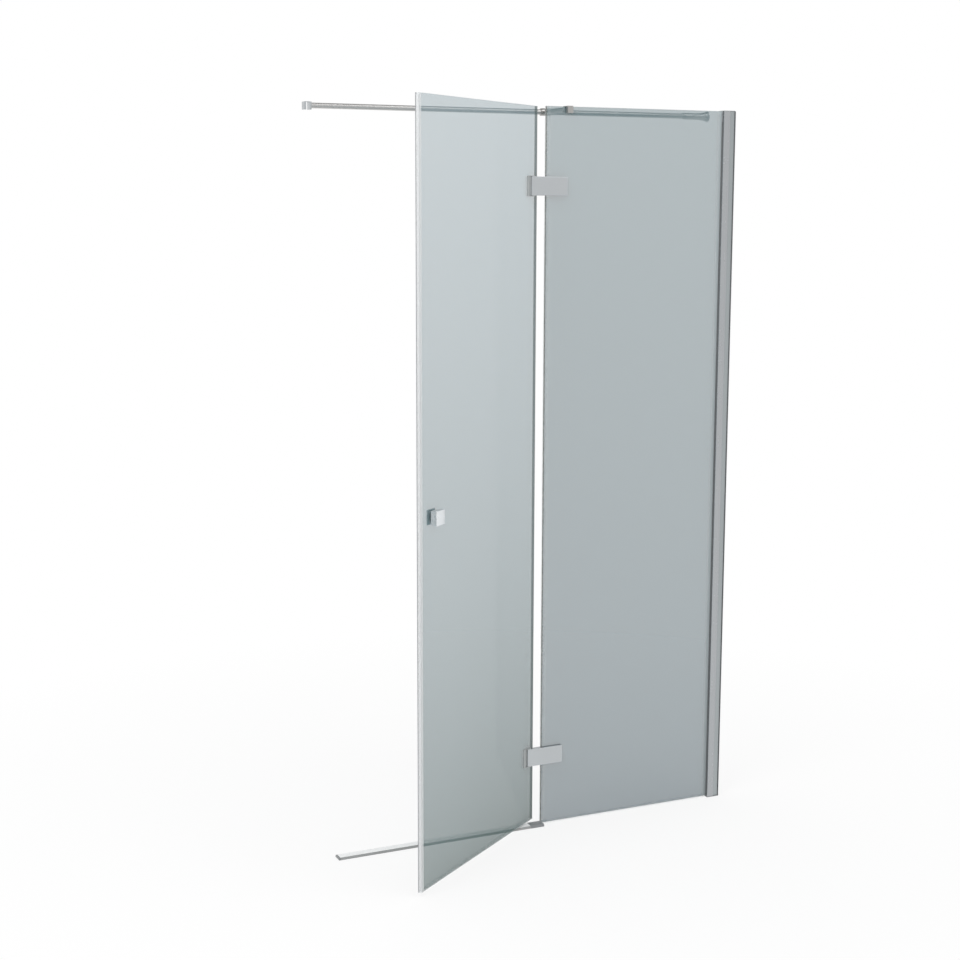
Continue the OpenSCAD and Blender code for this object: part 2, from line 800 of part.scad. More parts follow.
// Seal under the leaf: legs on both faces and a lip that wipes inwards
module drip_seal() {
    x0 = leaf_free_x + magnet_leg + 0.5;
    back_z = leaf_rise - seal_slip - drip_back_t;
    half = half_glass + seal_slip;
    top_z = back_z + drip_back_t;
    leg_z = top_z + drip_leg;
    lip_z = back_z - lip_drop;
    color(soft_clear) on_leaf() translate([x0, leaf_out + half_glass, 0]) rotate([90, 0, 90])
        linear_extrude(leaf_hinge_x - x0) polygon([
            [-half - seal_t, back_z], [1 - half, back_z], [0.8, lip_z], [1.6, lip_z],
            [3.2 - half, back_z], [half + seal_t, back_z], [half + seal_t, leg_z], [half, leg_z],
            [half, top_z], [-half, top_z], [-half, leg_z], [-half - seal_t, leg_z]
        ]);
}

// Seal on the free edge: two legs and a square chamber for the magnet
module magnet_seal() {
    half = half_glass + seal_slip;
    root_x = leaf_free_x - seal_slip;
    z0 = leaf_rise - drip_back_t;
    color(soft_clear) on_leaf() translate([0, leaf_out + half_glass, z0])
        linear_extrude(front_h - z0) {
            for (y = [-half - seal_t, half])
                translate([root_x - seal_t, y]) square([magnet_leg + seal_t, seal_t]);
            difference() {
                translate([magnet_x, -magnet_half])
                    round_rect(root_x - magnet_x, 2 * magnet_half, 0.8);
                translate([magnet_x + magnet_wall, -magnet_half + magnet_wall])
                    square([root_x - magnet_x - 2 * magnet_wall, 2 * (magnet_half - magnet_wall)]);
            }
        }
}

// Flexible magnet that lies in the chamber
module magnet_strip() {
    x0 = magnet_x + magnet_wall + fit;
    half = magnet_half - magnet_wall - fit;
    z0 = leaf_rise + 5;
    l = magnet_reach - seal_slip - 2 * (magnet_wall + fit);
    color(dark) on_leaf() translate([x0, leaf_out + half_glass - half, z0])
        cube([l, 2 * half, front_h - 5 - z0]);
}

// ---- hinges, leaf side ----

// Plan of an ear: round about the pin and square towards the bracket's plate
module ear_plan() {
    circle(ear_r);
    translate([-bracket_near - 1, 0]) square([bracket_near + 1, ear_r]);
}

// Upright plate bonded to the leaf, with an ear above and an ear below the hinge block
module leaf_bracket(zc) {
    color(metal) on_leaf() difference() {
        union() {
            translate([-bracket_reach, bracket_front_y, zc - bracket_half])
                soft_box([bracket_reach - bracket_near, bracket_t, 2 * bracket_half], bracket_edge_r);
            for (z = [zc - bracket_half, zc + hinge_half + ear_gap])
                translate([0, 0, z]) linear_extrude(ear_t) ear_plan();
        }
        translate([0, 0, zc - bracket_half - cut])
            cylinder(h = 2 * (bracket_half + cut), r = pin_r + press);
    }
}

module upper_leaf_bracket() {
    leaf_bracket(hinge_zs[1]);
}

module lower_leaf_bracket() {
    leaf_bracket(hinge_zs[0]);
}

// Pin with chamfered ends, held in both ears
module hinge_pin(zc) {
    l = 2 * (bracket_half - pin_sink);
    c = 0.4;
    color(metal) on_leaf() translate([0, 0, zc - l / 2]) rotate_extrude() polygon([
        [0, 0], [pin_r - c, 0], [pin_r, c], [pin_r, l - c], [pin_r - c, l], [0, l]
    ]);
}

module upper_hinge_pin() {
    hinge_pin(hinge_zs[1]);
}

module lower_hinge_pin() {
    hinge_pin(hinge_zs[0]);
}

// Clear pads that bond the brackets to the room face of the leaf
module bracket_pads() {
    w = bracket_reach - bracket_near - 2 * plate_edge;
    half_h = bracket_half - plate_edge;
    color(soft_clear) on_leaf() for (z = hinge_zs)
        translate([-bracket_reach + plate_edge, leaf_out - gasket_t, z - half_h])
            cube([w, gasket_t, 2 * half_h]);
}

// ---- knob ----

// Square block with a smaller square neck on the glass side
module outer_knob() {
    color(metal) on_leaf() difference() {
        union() {
            translate([knob_x - knob_half, outer_face_y, knob_z - knob_half])
                soft_box([knob_w, outer_knob_t, knob_w], knob_edge_r);
            translate([knob_x - neck_half, outer_block_y - cut, knob_z - neck_half])
                cube([2 * neck_half, neck_l + cut, 2 * neck_half]);
        }
        y_cyl(knob_x, stud_out_y - fit, knob_z, outer_neck_y + cut - stud_out_y + fit, stud_r + press);
        translate([knob_x, grub_y, knob_z - knob_w]) cylinder(h = knob_w, r = grub_r + press);
    }
}

module inner_knob_plate() {
    color(metal) on_leaf() difference() {
        translate([knob_x - knob_half, inner_plate_y, knob_z - knob_half])
            soft_box([knob_w, inner_knob_t, knob_w], 0.8);
        y_cyl(knob_x, inner_plate_y - cut, knob_z, stud_in_y - inner_plate_y + fit + cut, stud_r + press);
    }
}

module knob_stud() {
    color(metal) on_leaf() y_cyl(knob_x, stud_out_y, knob_z, stud_in_y - stud_out_y, stud_r);
}

module knob_washers() {
    color(soft_clear) on_leaf() for (y = [outer_neck_y, leaf_in])
        difference() {
            y_cyl(knob_x, y, knob_z, washer_t, washer_r);
            y_cyl(knob_x, y - cut, knob_z, washer_t + 2 * cut, stud_r + fit);
        }
}

module knob_grub_screw() {
    color(dark) on_leaf()
        translate([knob_x, grub_y, knob_z - knob_half + grub_sink])
            grub_screw(knob_half - grub_sink - stud_r - fit);
}

wall_profile();
wall_seal_strip();
glass_profile();
adjusting_screws();
adjusting_screw_caps();
profile_top_cap();
profile_bottom_cap();
outer_glazing_gasket();
inner_glazing_gasket();
fixed_glass();
fixed_edge_seal();
fixed_bottom_seal();
upper_hinge_block();
lower_hinge_block();
hinge_bushes();
block_gaskets();
block_screws();
stabiliser_bar();
bar_wall_plate();
bar_trumpet();
bar_tee();
tee_lining();
tee_grub_screw();
bar_end_clamp();
end_clamp_grub_screw();
threshold_strip();
threshold_shoe();
threshold_end_cap();
leaf_glass();
upper_leaf_bracket();
lower_leaf_bracket();
upper_hinge_pin();
lower_hinge_pin();
bracket_pads();
drip_seal();
magnet_seal();
magnet_strip();
outer_knob();
inner_knob_plate();
knob_stud();
knob_washers();
knob_grub_screw();
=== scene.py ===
"""Dresses the glass shower front: its panes, hinges, profiles, seals, bar and knob.

Finishes and the studio are in metres and the modelled pieces in millimetres, in the frame of the
solids: the wall is X = 0, the middle of the shut glass is Y = 0 and the tray is Z = 0. The room
side is -Y. Pieces of the leaf are modelled round the hinge axis, with the leaf along -X, and are
then swung to where it stands.
"""

import json
import logging
import math
from collections.abc import Callable, Sequence
from dataclasses import dataclass
from enum import Enum

import bmesh
import bpy
from mathutils import Matrix, Vector

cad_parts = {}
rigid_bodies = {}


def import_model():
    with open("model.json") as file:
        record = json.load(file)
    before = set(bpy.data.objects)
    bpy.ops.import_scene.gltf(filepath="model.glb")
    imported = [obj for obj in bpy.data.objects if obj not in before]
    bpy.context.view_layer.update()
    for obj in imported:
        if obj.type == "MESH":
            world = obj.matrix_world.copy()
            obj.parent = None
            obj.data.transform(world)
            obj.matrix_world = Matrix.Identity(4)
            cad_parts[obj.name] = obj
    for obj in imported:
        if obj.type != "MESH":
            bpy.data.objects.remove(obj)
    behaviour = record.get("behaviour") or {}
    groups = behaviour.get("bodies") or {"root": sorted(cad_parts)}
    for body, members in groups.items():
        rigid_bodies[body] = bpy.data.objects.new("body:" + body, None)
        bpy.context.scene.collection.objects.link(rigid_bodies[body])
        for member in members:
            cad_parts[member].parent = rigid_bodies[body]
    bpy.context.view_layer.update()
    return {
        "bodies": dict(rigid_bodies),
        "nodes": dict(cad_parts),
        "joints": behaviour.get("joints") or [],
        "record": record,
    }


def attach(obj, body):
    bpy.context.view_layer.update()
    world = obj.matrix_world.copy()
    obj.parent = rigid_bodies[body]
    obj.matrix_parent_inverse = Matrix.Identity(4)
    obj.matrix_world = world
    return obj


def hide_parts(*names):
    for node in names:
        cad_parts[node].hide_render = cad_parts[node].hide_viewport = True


LOG = logging.getLogger("shower_front")
MM = 0.001
WHITE = (1.0, 1.0, 1.0, 1.0)
UP = (0.0, 0.0, 1.0)
ROOM = (0.0, -1.0, 0.0)

# How far the leaf stands open, and the directions along and across it.
OPEN = math.radians(36.0)
LEAF_ALONG = (math.cos(OPEN), math.sin(OPEN), 0.0)
LEAF_ACROSS = (-math.sin(OPEN), math.cos(OPEN), 0.0)

# How noise is stretched: not at all, or into lines along the rods or up the profiles.
EVEN = (1.0, 1.0, 1.0)
ROD_GRAIN = (0.01, 1.0, 1.0)
UPRIGHT_GRAIN = (1.0, 1.0, 0.01)

# Sockets of a Mix node that is set to colours.
MIX_LOW = 6
MIX_HIGH = 7
MIX_RESULT = 2

Colour = tuple[float, float, float]
Direction = tuple[float, float, float]
Point = Sequence[float]
Row = tuple[float, float]
Piece = bpy.types.Object
Socket = bpy.types.NodeSocket
Tint = Colour | Socket


class Body(Enum):
    """The two rigid bodies of the front."""

    FIXED = "root"
    LEAF = "leaf"


class Slot(Enum):
    """The material slots of the record."""

    GLASS = "clear_glass"
    CHROME = "chrome"
    BRIGHT = "polished_aluminium"
    SATIN = "satin_aluminium"
    STEEL = "steel"
    CLEAR = "clear_plastic"
    WHITE = "white_plastic"
    GREY = "grey_plastic"
    RUBBER = "grey_rubber"
    MAGNET = "magnet_rubber"


class Element(Enum):
    """What a selection in a mesh is made of."""

    VERT = "verts"
    EDGE = "edges"
    FACE = "faces"


class Wire:
    """A number that changes over a surface, with the usual operators."""

    def __init__(self, recipe: "Recipe", socket: Socket) -> None:
        """Keeps the output socket that carries the number, and the recipe that it is in."""
        self.recipe = recipe
        self.socket = socket

    def _math(self, operation: str, *values: object) -> "Wire":
        """Adds one Math node and returns its result."""
        inputs = dict(enumerate(values))
        return self.recipe.wire(self.recipe.node("ShaderNodeMath", inputs, operation=operation))

    def __add__(self, other: object) -> "Wire":
        """Sum."""
        return self._math("ADD", self, other)

    __radd__ = __add__

    def __mul__(self, other: object) -> "Wire":
        """Product."""
        return self._math("MULTIPLY", self, other)

    __rmul__ = __mul__

    def __sub__(self, other: object) -> "Wire":
        """Difference."""
        return self._math("SUBTRACT", self, other)

    def __rsub__(self, other: object) -> "Wire":
        """Difference the other way round."""
        return self._math("SUBTRACT", other, self)

    def __truediv__(self, other: object) -> "Wire":
        """Quotient."""
        return self._math("DIVIDE", self, other)

    def __pow__(self, other: object) -> "Wire":
        """Power."""
        return self._math("POWER", self, other)

    def above(self, level: float) -> "Wire":
        """1 where the number is above the level, and 0 elsewhere."""
        return self._math("GREATER_THAN", self, level)

    def unsigned(self) -> "Wire":
        """The number without its sign."""
        return self._math("ABSOLUTE", self)

    def limited(self) -> "Wire":
        """The number held between 0 and 1."""
        return self.recipe.wire(self.recipe.node("ShaderNodeClamp", {"Value": self}))


class Recipe:
    """One node material or world while it is put together."""

    def __init__(self, tree: bpy.types.NodeTree) -> None:
        """Empties the tree of a material or world."""
        self.tree = tree
        tree.nodes.clear()

    def node(self, kind: str, inputs: dict, **settings: object) -> bpy.types.Node:
        """Adds one node.

        Args:
            kind: The node's type.
            inputs: Values or links, by socket name or number.
            settings: Attributes of the node, set before its sockets.

        Returns:
            The new node.
        """
        made = self.tree.nodes.new(kind)
        for key, value in settings.items():
            setattr(made, key, value)
        for key, value in inputs.items():
            if isinstance(value, Wire):
                value = value.socket
            if isinstance(value, Socket):
                self.tree.links.new(value, made.inputs[key])
            else:
                made.inputs[key].default_value = value
        return made

    def wire(self, node: bpy.types.Node, output: str | int = 0) -> Wire:
        """Wraps a node's output."""
        return Wire(self, node.outputs[output])

    def coords(self, output: str) -> Socket:
        """One of the texture coordinates."""
        return self.node("ShaderNodeTexCoord", {}).outputs[output]

    def along(self, output: str, direction: Direction) -> Wire:
        """Measures a texture coordinate along a direction.

        Args:
            output: Name of the coordinate.
            direction: A direction of length 1, in the frame of the solids.

        Returns:
            The coordinate's part along the direction.
        """
        inputs = {0: self.coords(output), 1: direction}
        node = self.node("ShaderNodeVectorMath", inputs, operation="DOT_PRODUCT")
        return self.wire(node, "Value")

    def facing(self, direction: Direction) -> Wire:
        """How squarely a face looks along a direction of the solids, from 0 to 1."""
        return self.along("Normal", direction).unsigned()

    def reach(self, direction: Direction) -> Wire:
        """How far a point of the solids lies along a direction, in metres."""
        return self.along("Object", direction)

    def rays(self, *kinds: str) -> Wire:
        """1 for rays of the given kinds, and 0 for all others."""
        path = self.node("ShaderNodeLightPath", {})
        return sum(self.wire(path, f"Is {kind} Ray") for kind in kinds).limited()

    def slant(self) -> Wire:
        """0 where a face looks at the camera, up to 1 where it is seen edge on."""
        return self.wire(self.node("ShaderNodeLayerWeight", {"Blend": 0.5}), "Facing")

    def noise(self, scale: Direction, size: float, detail: float) -> Wire:
        """Noise from 0 to 1.

        Args:
            scale: How the pattern is stretched along each axis.
            size: Number of blotches in a metre.
            detail: Number of finer layers.

        Returns:
            The noise value.
        """
        inputs = {"Vector": self.coords("Object"), "Scale": scale}
        place = self.node("ShaderNodeMapping", inputs).outputs[0]
        inputs = {"Vector": place, "Scale": size, "Detail": detail, "Roughness": 0.55}
        return self.wire(self.node("ShaderNodeTexNoise", inputs))

    def blend(self, factor: Wire, low: Tint, high: Tint) -> Socket:
        """A colour between two colours.

        Args:
            factor: 0 for the first colour, 1 for the second.
            low: The first colour.
            high: The second colour.

        Returns:
            The socket with the colour.
        """
        inputs = {0: factor}
        for key, colour in ((MIX_LOW, low), (MIX_HIGH, high)):
            inputs[key] = (*colour, 1.0) if isinstance(colour, tuple) else colour
        return self.node("ShaderNodeMix", inputs, data_type="RGBA").outputs[MIX_RESULT]

    def bump(self, height: Wire, depth: float) -> Socket:
        """A bumped normal whose full height is depth, in metres."""
        inputs = {"Height": height, "Distance": depth, "Strength": 0.3}
        return self.node("ShaderNodeBump", inputs).outputs[0]

    def close(self, shader: bpy.types.Node, kind: str = "ShaderNodeOutputMaterial") -> None:
        """Links the shader to an output of the given kind."""
        self.node(kind, {"Surface": shader.outputs[0]})


def new_recipe(name: str) -> tuple[bpy.types.Material, Recipe]:
    """Makes an empty node material.

    Args:
        name: The material's name.

    Returns:
        The material and its recipe.
    """
    material = bpy.data.materials.new(name)
    material.use_nodes = True
    return material, Recipe(material.node_tree)


@dataclass(frozen=True)
class Finish:
    """A named look with one Principled shader."""

    name: str

    def inputs(self, recipe: Recipe) -> dict:
        """The shader's inputs, by socket name."""
        raise NotImplementedError

    def build(self) -> bpy.types.Material:
        """Makes the material.

        Returns:
            The material.
        """
        material, recipe = new_recipe(self.name)
        recipe.close(recipe.node("ShaderNodeBsdfPrincipled", self.inputs(recipe)))
        return material


@dataclass(frozen=True)
class GlassFinish(Finish):
    """Clear glass on white: grey green veil, dark upright edges, painted shade towards the tray.

    A pane held in the wall profile also has a strip of painted light on its room face, from the
    wall to the strip's end: a dense veil in the glass's lit tone, over the shaded gasket and wing.
    """

    # Tint and veil at the top and, deeper as painted shade, at the tray.
    top: Colour
    bottom: Colour
    veil_top: float
    veil_bottom: float
    along: Direction
    edge_from: float
    edge: Colour = (0.08, 0.087, 0.07)
    edge_veil: float = 0.80
    # The strip of painted light: where it ends, its depth, its lit tones and its veil.
    painted_strip_to: float = -9.0
    painted_strip_depth: float = 0.003
    painted_strip_top: Colour = (0.44, 0.49, 0.505)
    painted_strip_bottom: Colour = (0.34, 0.38, 0.39)
    painted_strip_veil: float = 0.95
    full_height: float = 1.95
    cloudiness: float = 0.06
    glint: float = 0.35
    roughness: float = 0.02

    def inputs(self, recipe: Recipe) -> dict:
        """The shader's inputs.

        Args:
            recipe: The recipe that the nodes go into.

        Returns:
            Values and links by socket name.
        """
        film = recipe.noise((1.0, 1.0, 0.3), size=2.2, detail=2.0)
        # Painted shade: the share falls towards the tray, where tint and veil deepen.
        share = (recipe.reach(UP) / self.full_height).limited() ** 0.5
        share = (share + (film - 0.5) * self.cloudiness).limited()
        place = recipe.reach(self.along)
        edge = recipe.facing(self.along).above(0.5) * place.above(self.edge_from)
        # Painted light: a dense strip in the glass's lit tone, over the shaded gasket and wing.
        front = recipe.reach(ROOM).above(self.painted_strip_depth)
        painted_strip = front * (1.0 - place.above(self.painted_strip_to))
        face = recipe.blend(
            painted_strip,
            recipe.blend(share, self.bottom, self.top),
            recipe.blend(share, self.painted_strip_bottom, self.painted_strip_top),
        )
        # The veil deepens towards the tray as painted shade.
        veil = self.veil_bottom + share * (self.veil_top - self.veil_bottom)
        veil = veil + recipe.slant() ** 3.0 * self.glint
        veil = veil + painted_strip * (self.painted_strip_veil - veil)
        return {
            "Base Color": recipe.blend(edge, face, self.edge),
            "Roughness": self.roughness + film * 0.02,
            "IOR": 1.5,
            "Specular IOR Level": 0.08,
            "Alpha": (veil + edge * (self.edge_veil - veil)).limited(),
        }


@dataclass(frozen=True)
class MetalFinish(Finish):
    """Metal with fine lines along one axis, a faint cloudiness and the haze of wiped water."""

    colour: Colour
    shade: Colour
    roughness: float
    grain: Direction = EVEN
    metallic: float = 1.0
    haze_from: float = 0.6
    haze: float = 0.01

    def inputs(self, recipe: Recipe) -> dict:
        """The shader's inputs.

        Args:
            recipe: The recipe that the nodes go into.

        Returns:
            Values and links by socket name.
        """
        cloud = recipe.noise(EVEN, size=9.0, detail=3.0)
        lines = recipe.noise(self.grain, size=240.0, detail=2.0)
        drops = recipe.noise((1.0, 1.0, 1.6), size=38.0, detail=4.0)
        haze = drops.above(self.haze_from) * self.haze
        return {
            "Base Color": recipe.blend(cloud * 0.6 + lines * 0.4, self.shade, self.colour),
            "Metallic": self.metallic,
            "Roughness": (
                self.roughness + (lines - 0.5) * 0.2 * self.roughness + haze
            ).limited(),
        }


@dataclass(frozen=True)
class PolymerFinish(Finish):
    """Plastic or rubber with a fine pebble, cloudy patches and, if clear, an even veil."""

    colour: Colour
    shade: Colour
    roughness: float
    veil: float = 1.0
    rim: float = 0.5
    pebble: float = 0.00002

    def inputs(self, recipe: Recipe) -> dict:
        """The shader's inputs.

        Args:
            recipe: The recipe that the nodes go into.

        Returns:
            Values and links by socket name.
        """
        cloud = recipe.noise((1.0, 1.0, 0.2), size=14.0, detail=3.0)
        inputs = {
            "Base Color": recipe.blend(cloud, self.shade, self.colour),
            "Roughness": (self.roughness + (cloud - 0.5) * 0.12).limited(),
            "Normal": recipe.bump(recipe.noise(EVEN, size=2600.0, detail=2.0), self.pebble),
        }
        if self.veil < 1.0:
            rim = recipe.slant() ** 3.0 * self.rim
            inputs["Alpha"] = (self.veil + (cloud - 0.5) * 0.02 + rim).limited()
        return inputs


@dataclass(frozen=True)
class RailFinish(Finish):
    """Pale anodised rail with painted shade on its nosing, the faces that look to the room."""

    top: Colour
    nosing_shade: Colour
    roughness: float
    nosing_shade_from: float = 0.4
    scratch: float = 0.00002

    def inputs(self, recipe: Recipe) -> dict:
        """The shader's inputs.

        Args:
            recipe: The recipe that the nodes go into.

        Returns:
            Values and links by socket name.
        """
        lines = recipe.noise(ROD_GRAIN, size=240.0, detail=2.0)
        # Painted shade: faces that look to the room take the dark colour.
        nosing_shade = recipe.facing(ROOM).above(self.nosing_shade_from)
        return {
            "Base Color": recipe.blend(nosing_shade, self.top, self.nosing_shade),
            "Roughness": (self.roughness + (lines - 0.5) * 0.1).limited(),
            "Normal": recipe.bump(lines, self.scratch),
        }


@dataclass(frozen=True)
class LipFinish(Finish):
    """Clear seal of the free edge, darker and denser along the shower side of its nose."""

    body: Colour
    lip: Colour
    across: Direction
    lip_from: float
    veil: float = 0.4
    lip_veil: float = 0.75
    roughness: float = 0.4

    def inputs(self, recipe: Recipe) -> dict:
        """The shader's inputs.

        Args:
            recipe: The recipe that the nodes go into.

        Returns:
            Values and links by socket name.
        """
        cloud = recipe.noise((1.0, 1.0, 0.2), size=14.0, detail=3.0)
        lip = recipe.reach(self.across).above(self.lip_from)
        return {
            "Base Color": recipe.blend(lip, self.body, self.lip),
            "Roughness": (self.roughness + (cloud - 0.5) * 0.12).limited(),
            "Alpha": self.veil + lip * (self.lip_veil - self.veil),
        }


# Finishes by the slot of the record.
SLOT_FINISHES = {
    Slot.GLASS: GlassFinish(
        "fixed_glass_tint",
        # Top and tray tints and veils; the deeper ones at the tray are painted shade.
        top=(0.15, 0.24, 0.265),
        bottom=(0.11, 0.18, 0.215),
        veil_top=0.39,
        veil_bottom=0.46,
        along=(-1.0, 0.0, 0.0),
        edge_from=0.3,
        # End of the strip of painted light over the shaded gasket and profile wing.
        painted_strip_to=0.048,
    ),
    Slot.CHROME: MetalFinish("bright_chrome", (0.52, 0.545, 0.56), (0.47, 0.49, 0.505), 0.14),
    Slot.BRIGHT: MetalFinish(
        "bright_aluminium", (0.45, 0.465, 0.475), (0.40, 0.415, 0.43), 0.26, UPRIGHT_GRAIN
    ),
    Slot.SATIN: MetalFinish(
        "satin_aluminium", (0.40, 0.435, 0.443), (0.365, 0.395, 0.402), 0.36, UPRIGHT_GRAIN
    ),
    Slot.STEEL: MetalFinish("plain_steel", (0.58, 0.59, 0.60), (0.52, 0.53, 0.54), 0.28),
    Slot.CLEAR: PolymerFinish(
        "clear_seal", (0.86, 0.89, 0.90), (0.80, 0.84, 0.85), 0.20, veil=0.05, rim=0.2
    ),
    Slot.WHITE: PolymerFinish("white_bearing", (0.84, 0.84, 0.82), (0.78, 0.78, 0.76), 0.45),
    Slot.GREY: PolymerFinish("grey_moulding", (0.30, 0.31, 0.32), (0.24, 0.25, 0.26), 0.42),
    Slot.RUBBER: PolymerFinish("dark_rubber", (0.15, 0.155, 0.16), (0.12, 0.125, 0.13), 0.62),
    Slot.MAGNET: PolymerFinish("magnet_rubber", (0.78, 0.79, 0.80), (0.76, 0.77, 0.78), 0.7),
}

# Finishes of single pieces, by the start of their names. They come before the slot's.
PIECE_FINISHES = {
    ("leaf_glass",): GlassFinish(
        "leaf_glass_tint",
        # Top and tray tints and veils; the deeper ones at the tray are painted shade.
        top=(0.225, 0.34, 0.385),
        bottom=(0.11, 0.175, 0.165),
        veil_top=0.262,
        veil_bottom=0.49,
        along=LEAF_ALONG,
        edge_from=-0.8,
    ),
    ("free_edge_seal",): LipFinish(
        "milky_seal", (0.87, 0.89, 0.90), (0.36, 0.37, 0.39), LEAF_ACROSS, lip_from=0.3665
    ),
    ("knob_block",): MetalFinish(
        "polished_knob", (0.80, 0.83, 0.85), (0.76, 0.79, 0.81), 0.26, metallic=0.7
    ),
    # Painted light: a pale, less metallic copy of the chrome that lifts the plate's shade.
    ("knob_plate",): MetalFinish(
        "satin_plate", (0.92, 0.94, 0.95), (0.88, 0.90, 0.91), 0.4, metallic=0.3
    ),
    ("knob_washers",): PolymerFinish(
        "clear_washer", (0.90, 0.92, 0.92), (0.86, 0.88, 0.89), 0.3, veil=0.15, rim=0.1
    ),
    ("upper_leaf", "lower_leaf"): MetalFinish(
        "bracket_chrome", (0.47, 0.49, 0.49), (0.43, 0.45, 0.45), 0.35, metallic=0.3
    ),
    ("bar_tube", "wall_trumpet"): MetalFinish(
        "bar_chrome", (0.575, 0.57, 0.562), (0.555, 0.55, 0.542), 0.42, ROD_GRAIN
    ),
    ("bar_tee",): MetalFinish("tee_chrome", (0.44, 0.435, 0.42), (0.40, 0.395, 0.385), 0.3),
    ("tee_lining",): PolymerFinish("soft_lining", (0.46, 0.48, 0.48), (0.40, 0.42, 0.42), 0.6),
    # Painted light: a near white, half clear copy of the dark rubber, over the gasket's shade.
    ("shower_gasket",): PolymerFinish(
        "light_rubber", (0.92, 0.93, 0.93), (0.88, 0.89, 0.89), 0.6, veil=0.5
    ),
    ("threshold_rail",): RailFinish(
        # Pale top, and a dark colour painted as shade on the nosing.
        "pale_anodised", (0.92, 0.93, 0.93), (0.36, 0.365, 0.365), 0.45
    ),
}


class Wardrobe:
    """Every finish of the front, made once and handed out by piece and slot."""

    def __init__(self) -> None:
        """Builds the materials."""
        self.by_slot = {slot: finish.build() for slot, finish in SLOT_FINISHES.items()}
        self.by_name = {}
        for names, finish in PIECE_FINISHES.items():
            self.by_name.update(dict.fromkeys(names, finish.build()))

    def dress(self, piece: Piece, slot: Slot, name: str) -> None:
        """Gives a piece or solid its finish.

        Args:
            piece: The piece or solid.
            slot: The record's slot that it belongs to.
            name: Its name, which may have a finish of its own.
        """
        own = (material for start, material in self.by_name.items() if name.startswith(start))
        piece.data.materials.clear()
        piece.data.materials.append(next(own, self.by_slot[slot]))

    def dress_solids(self, frame: dict) -> None:
        """Gives every solid of the frame its finish.
        """
        slots = {s["node"]: Slot(s["material_slot"]) for s in frame["record"]["subparts"]}
        for name, solid in frame["nodes"].items():
            self.dress(solid, slots[name], name)


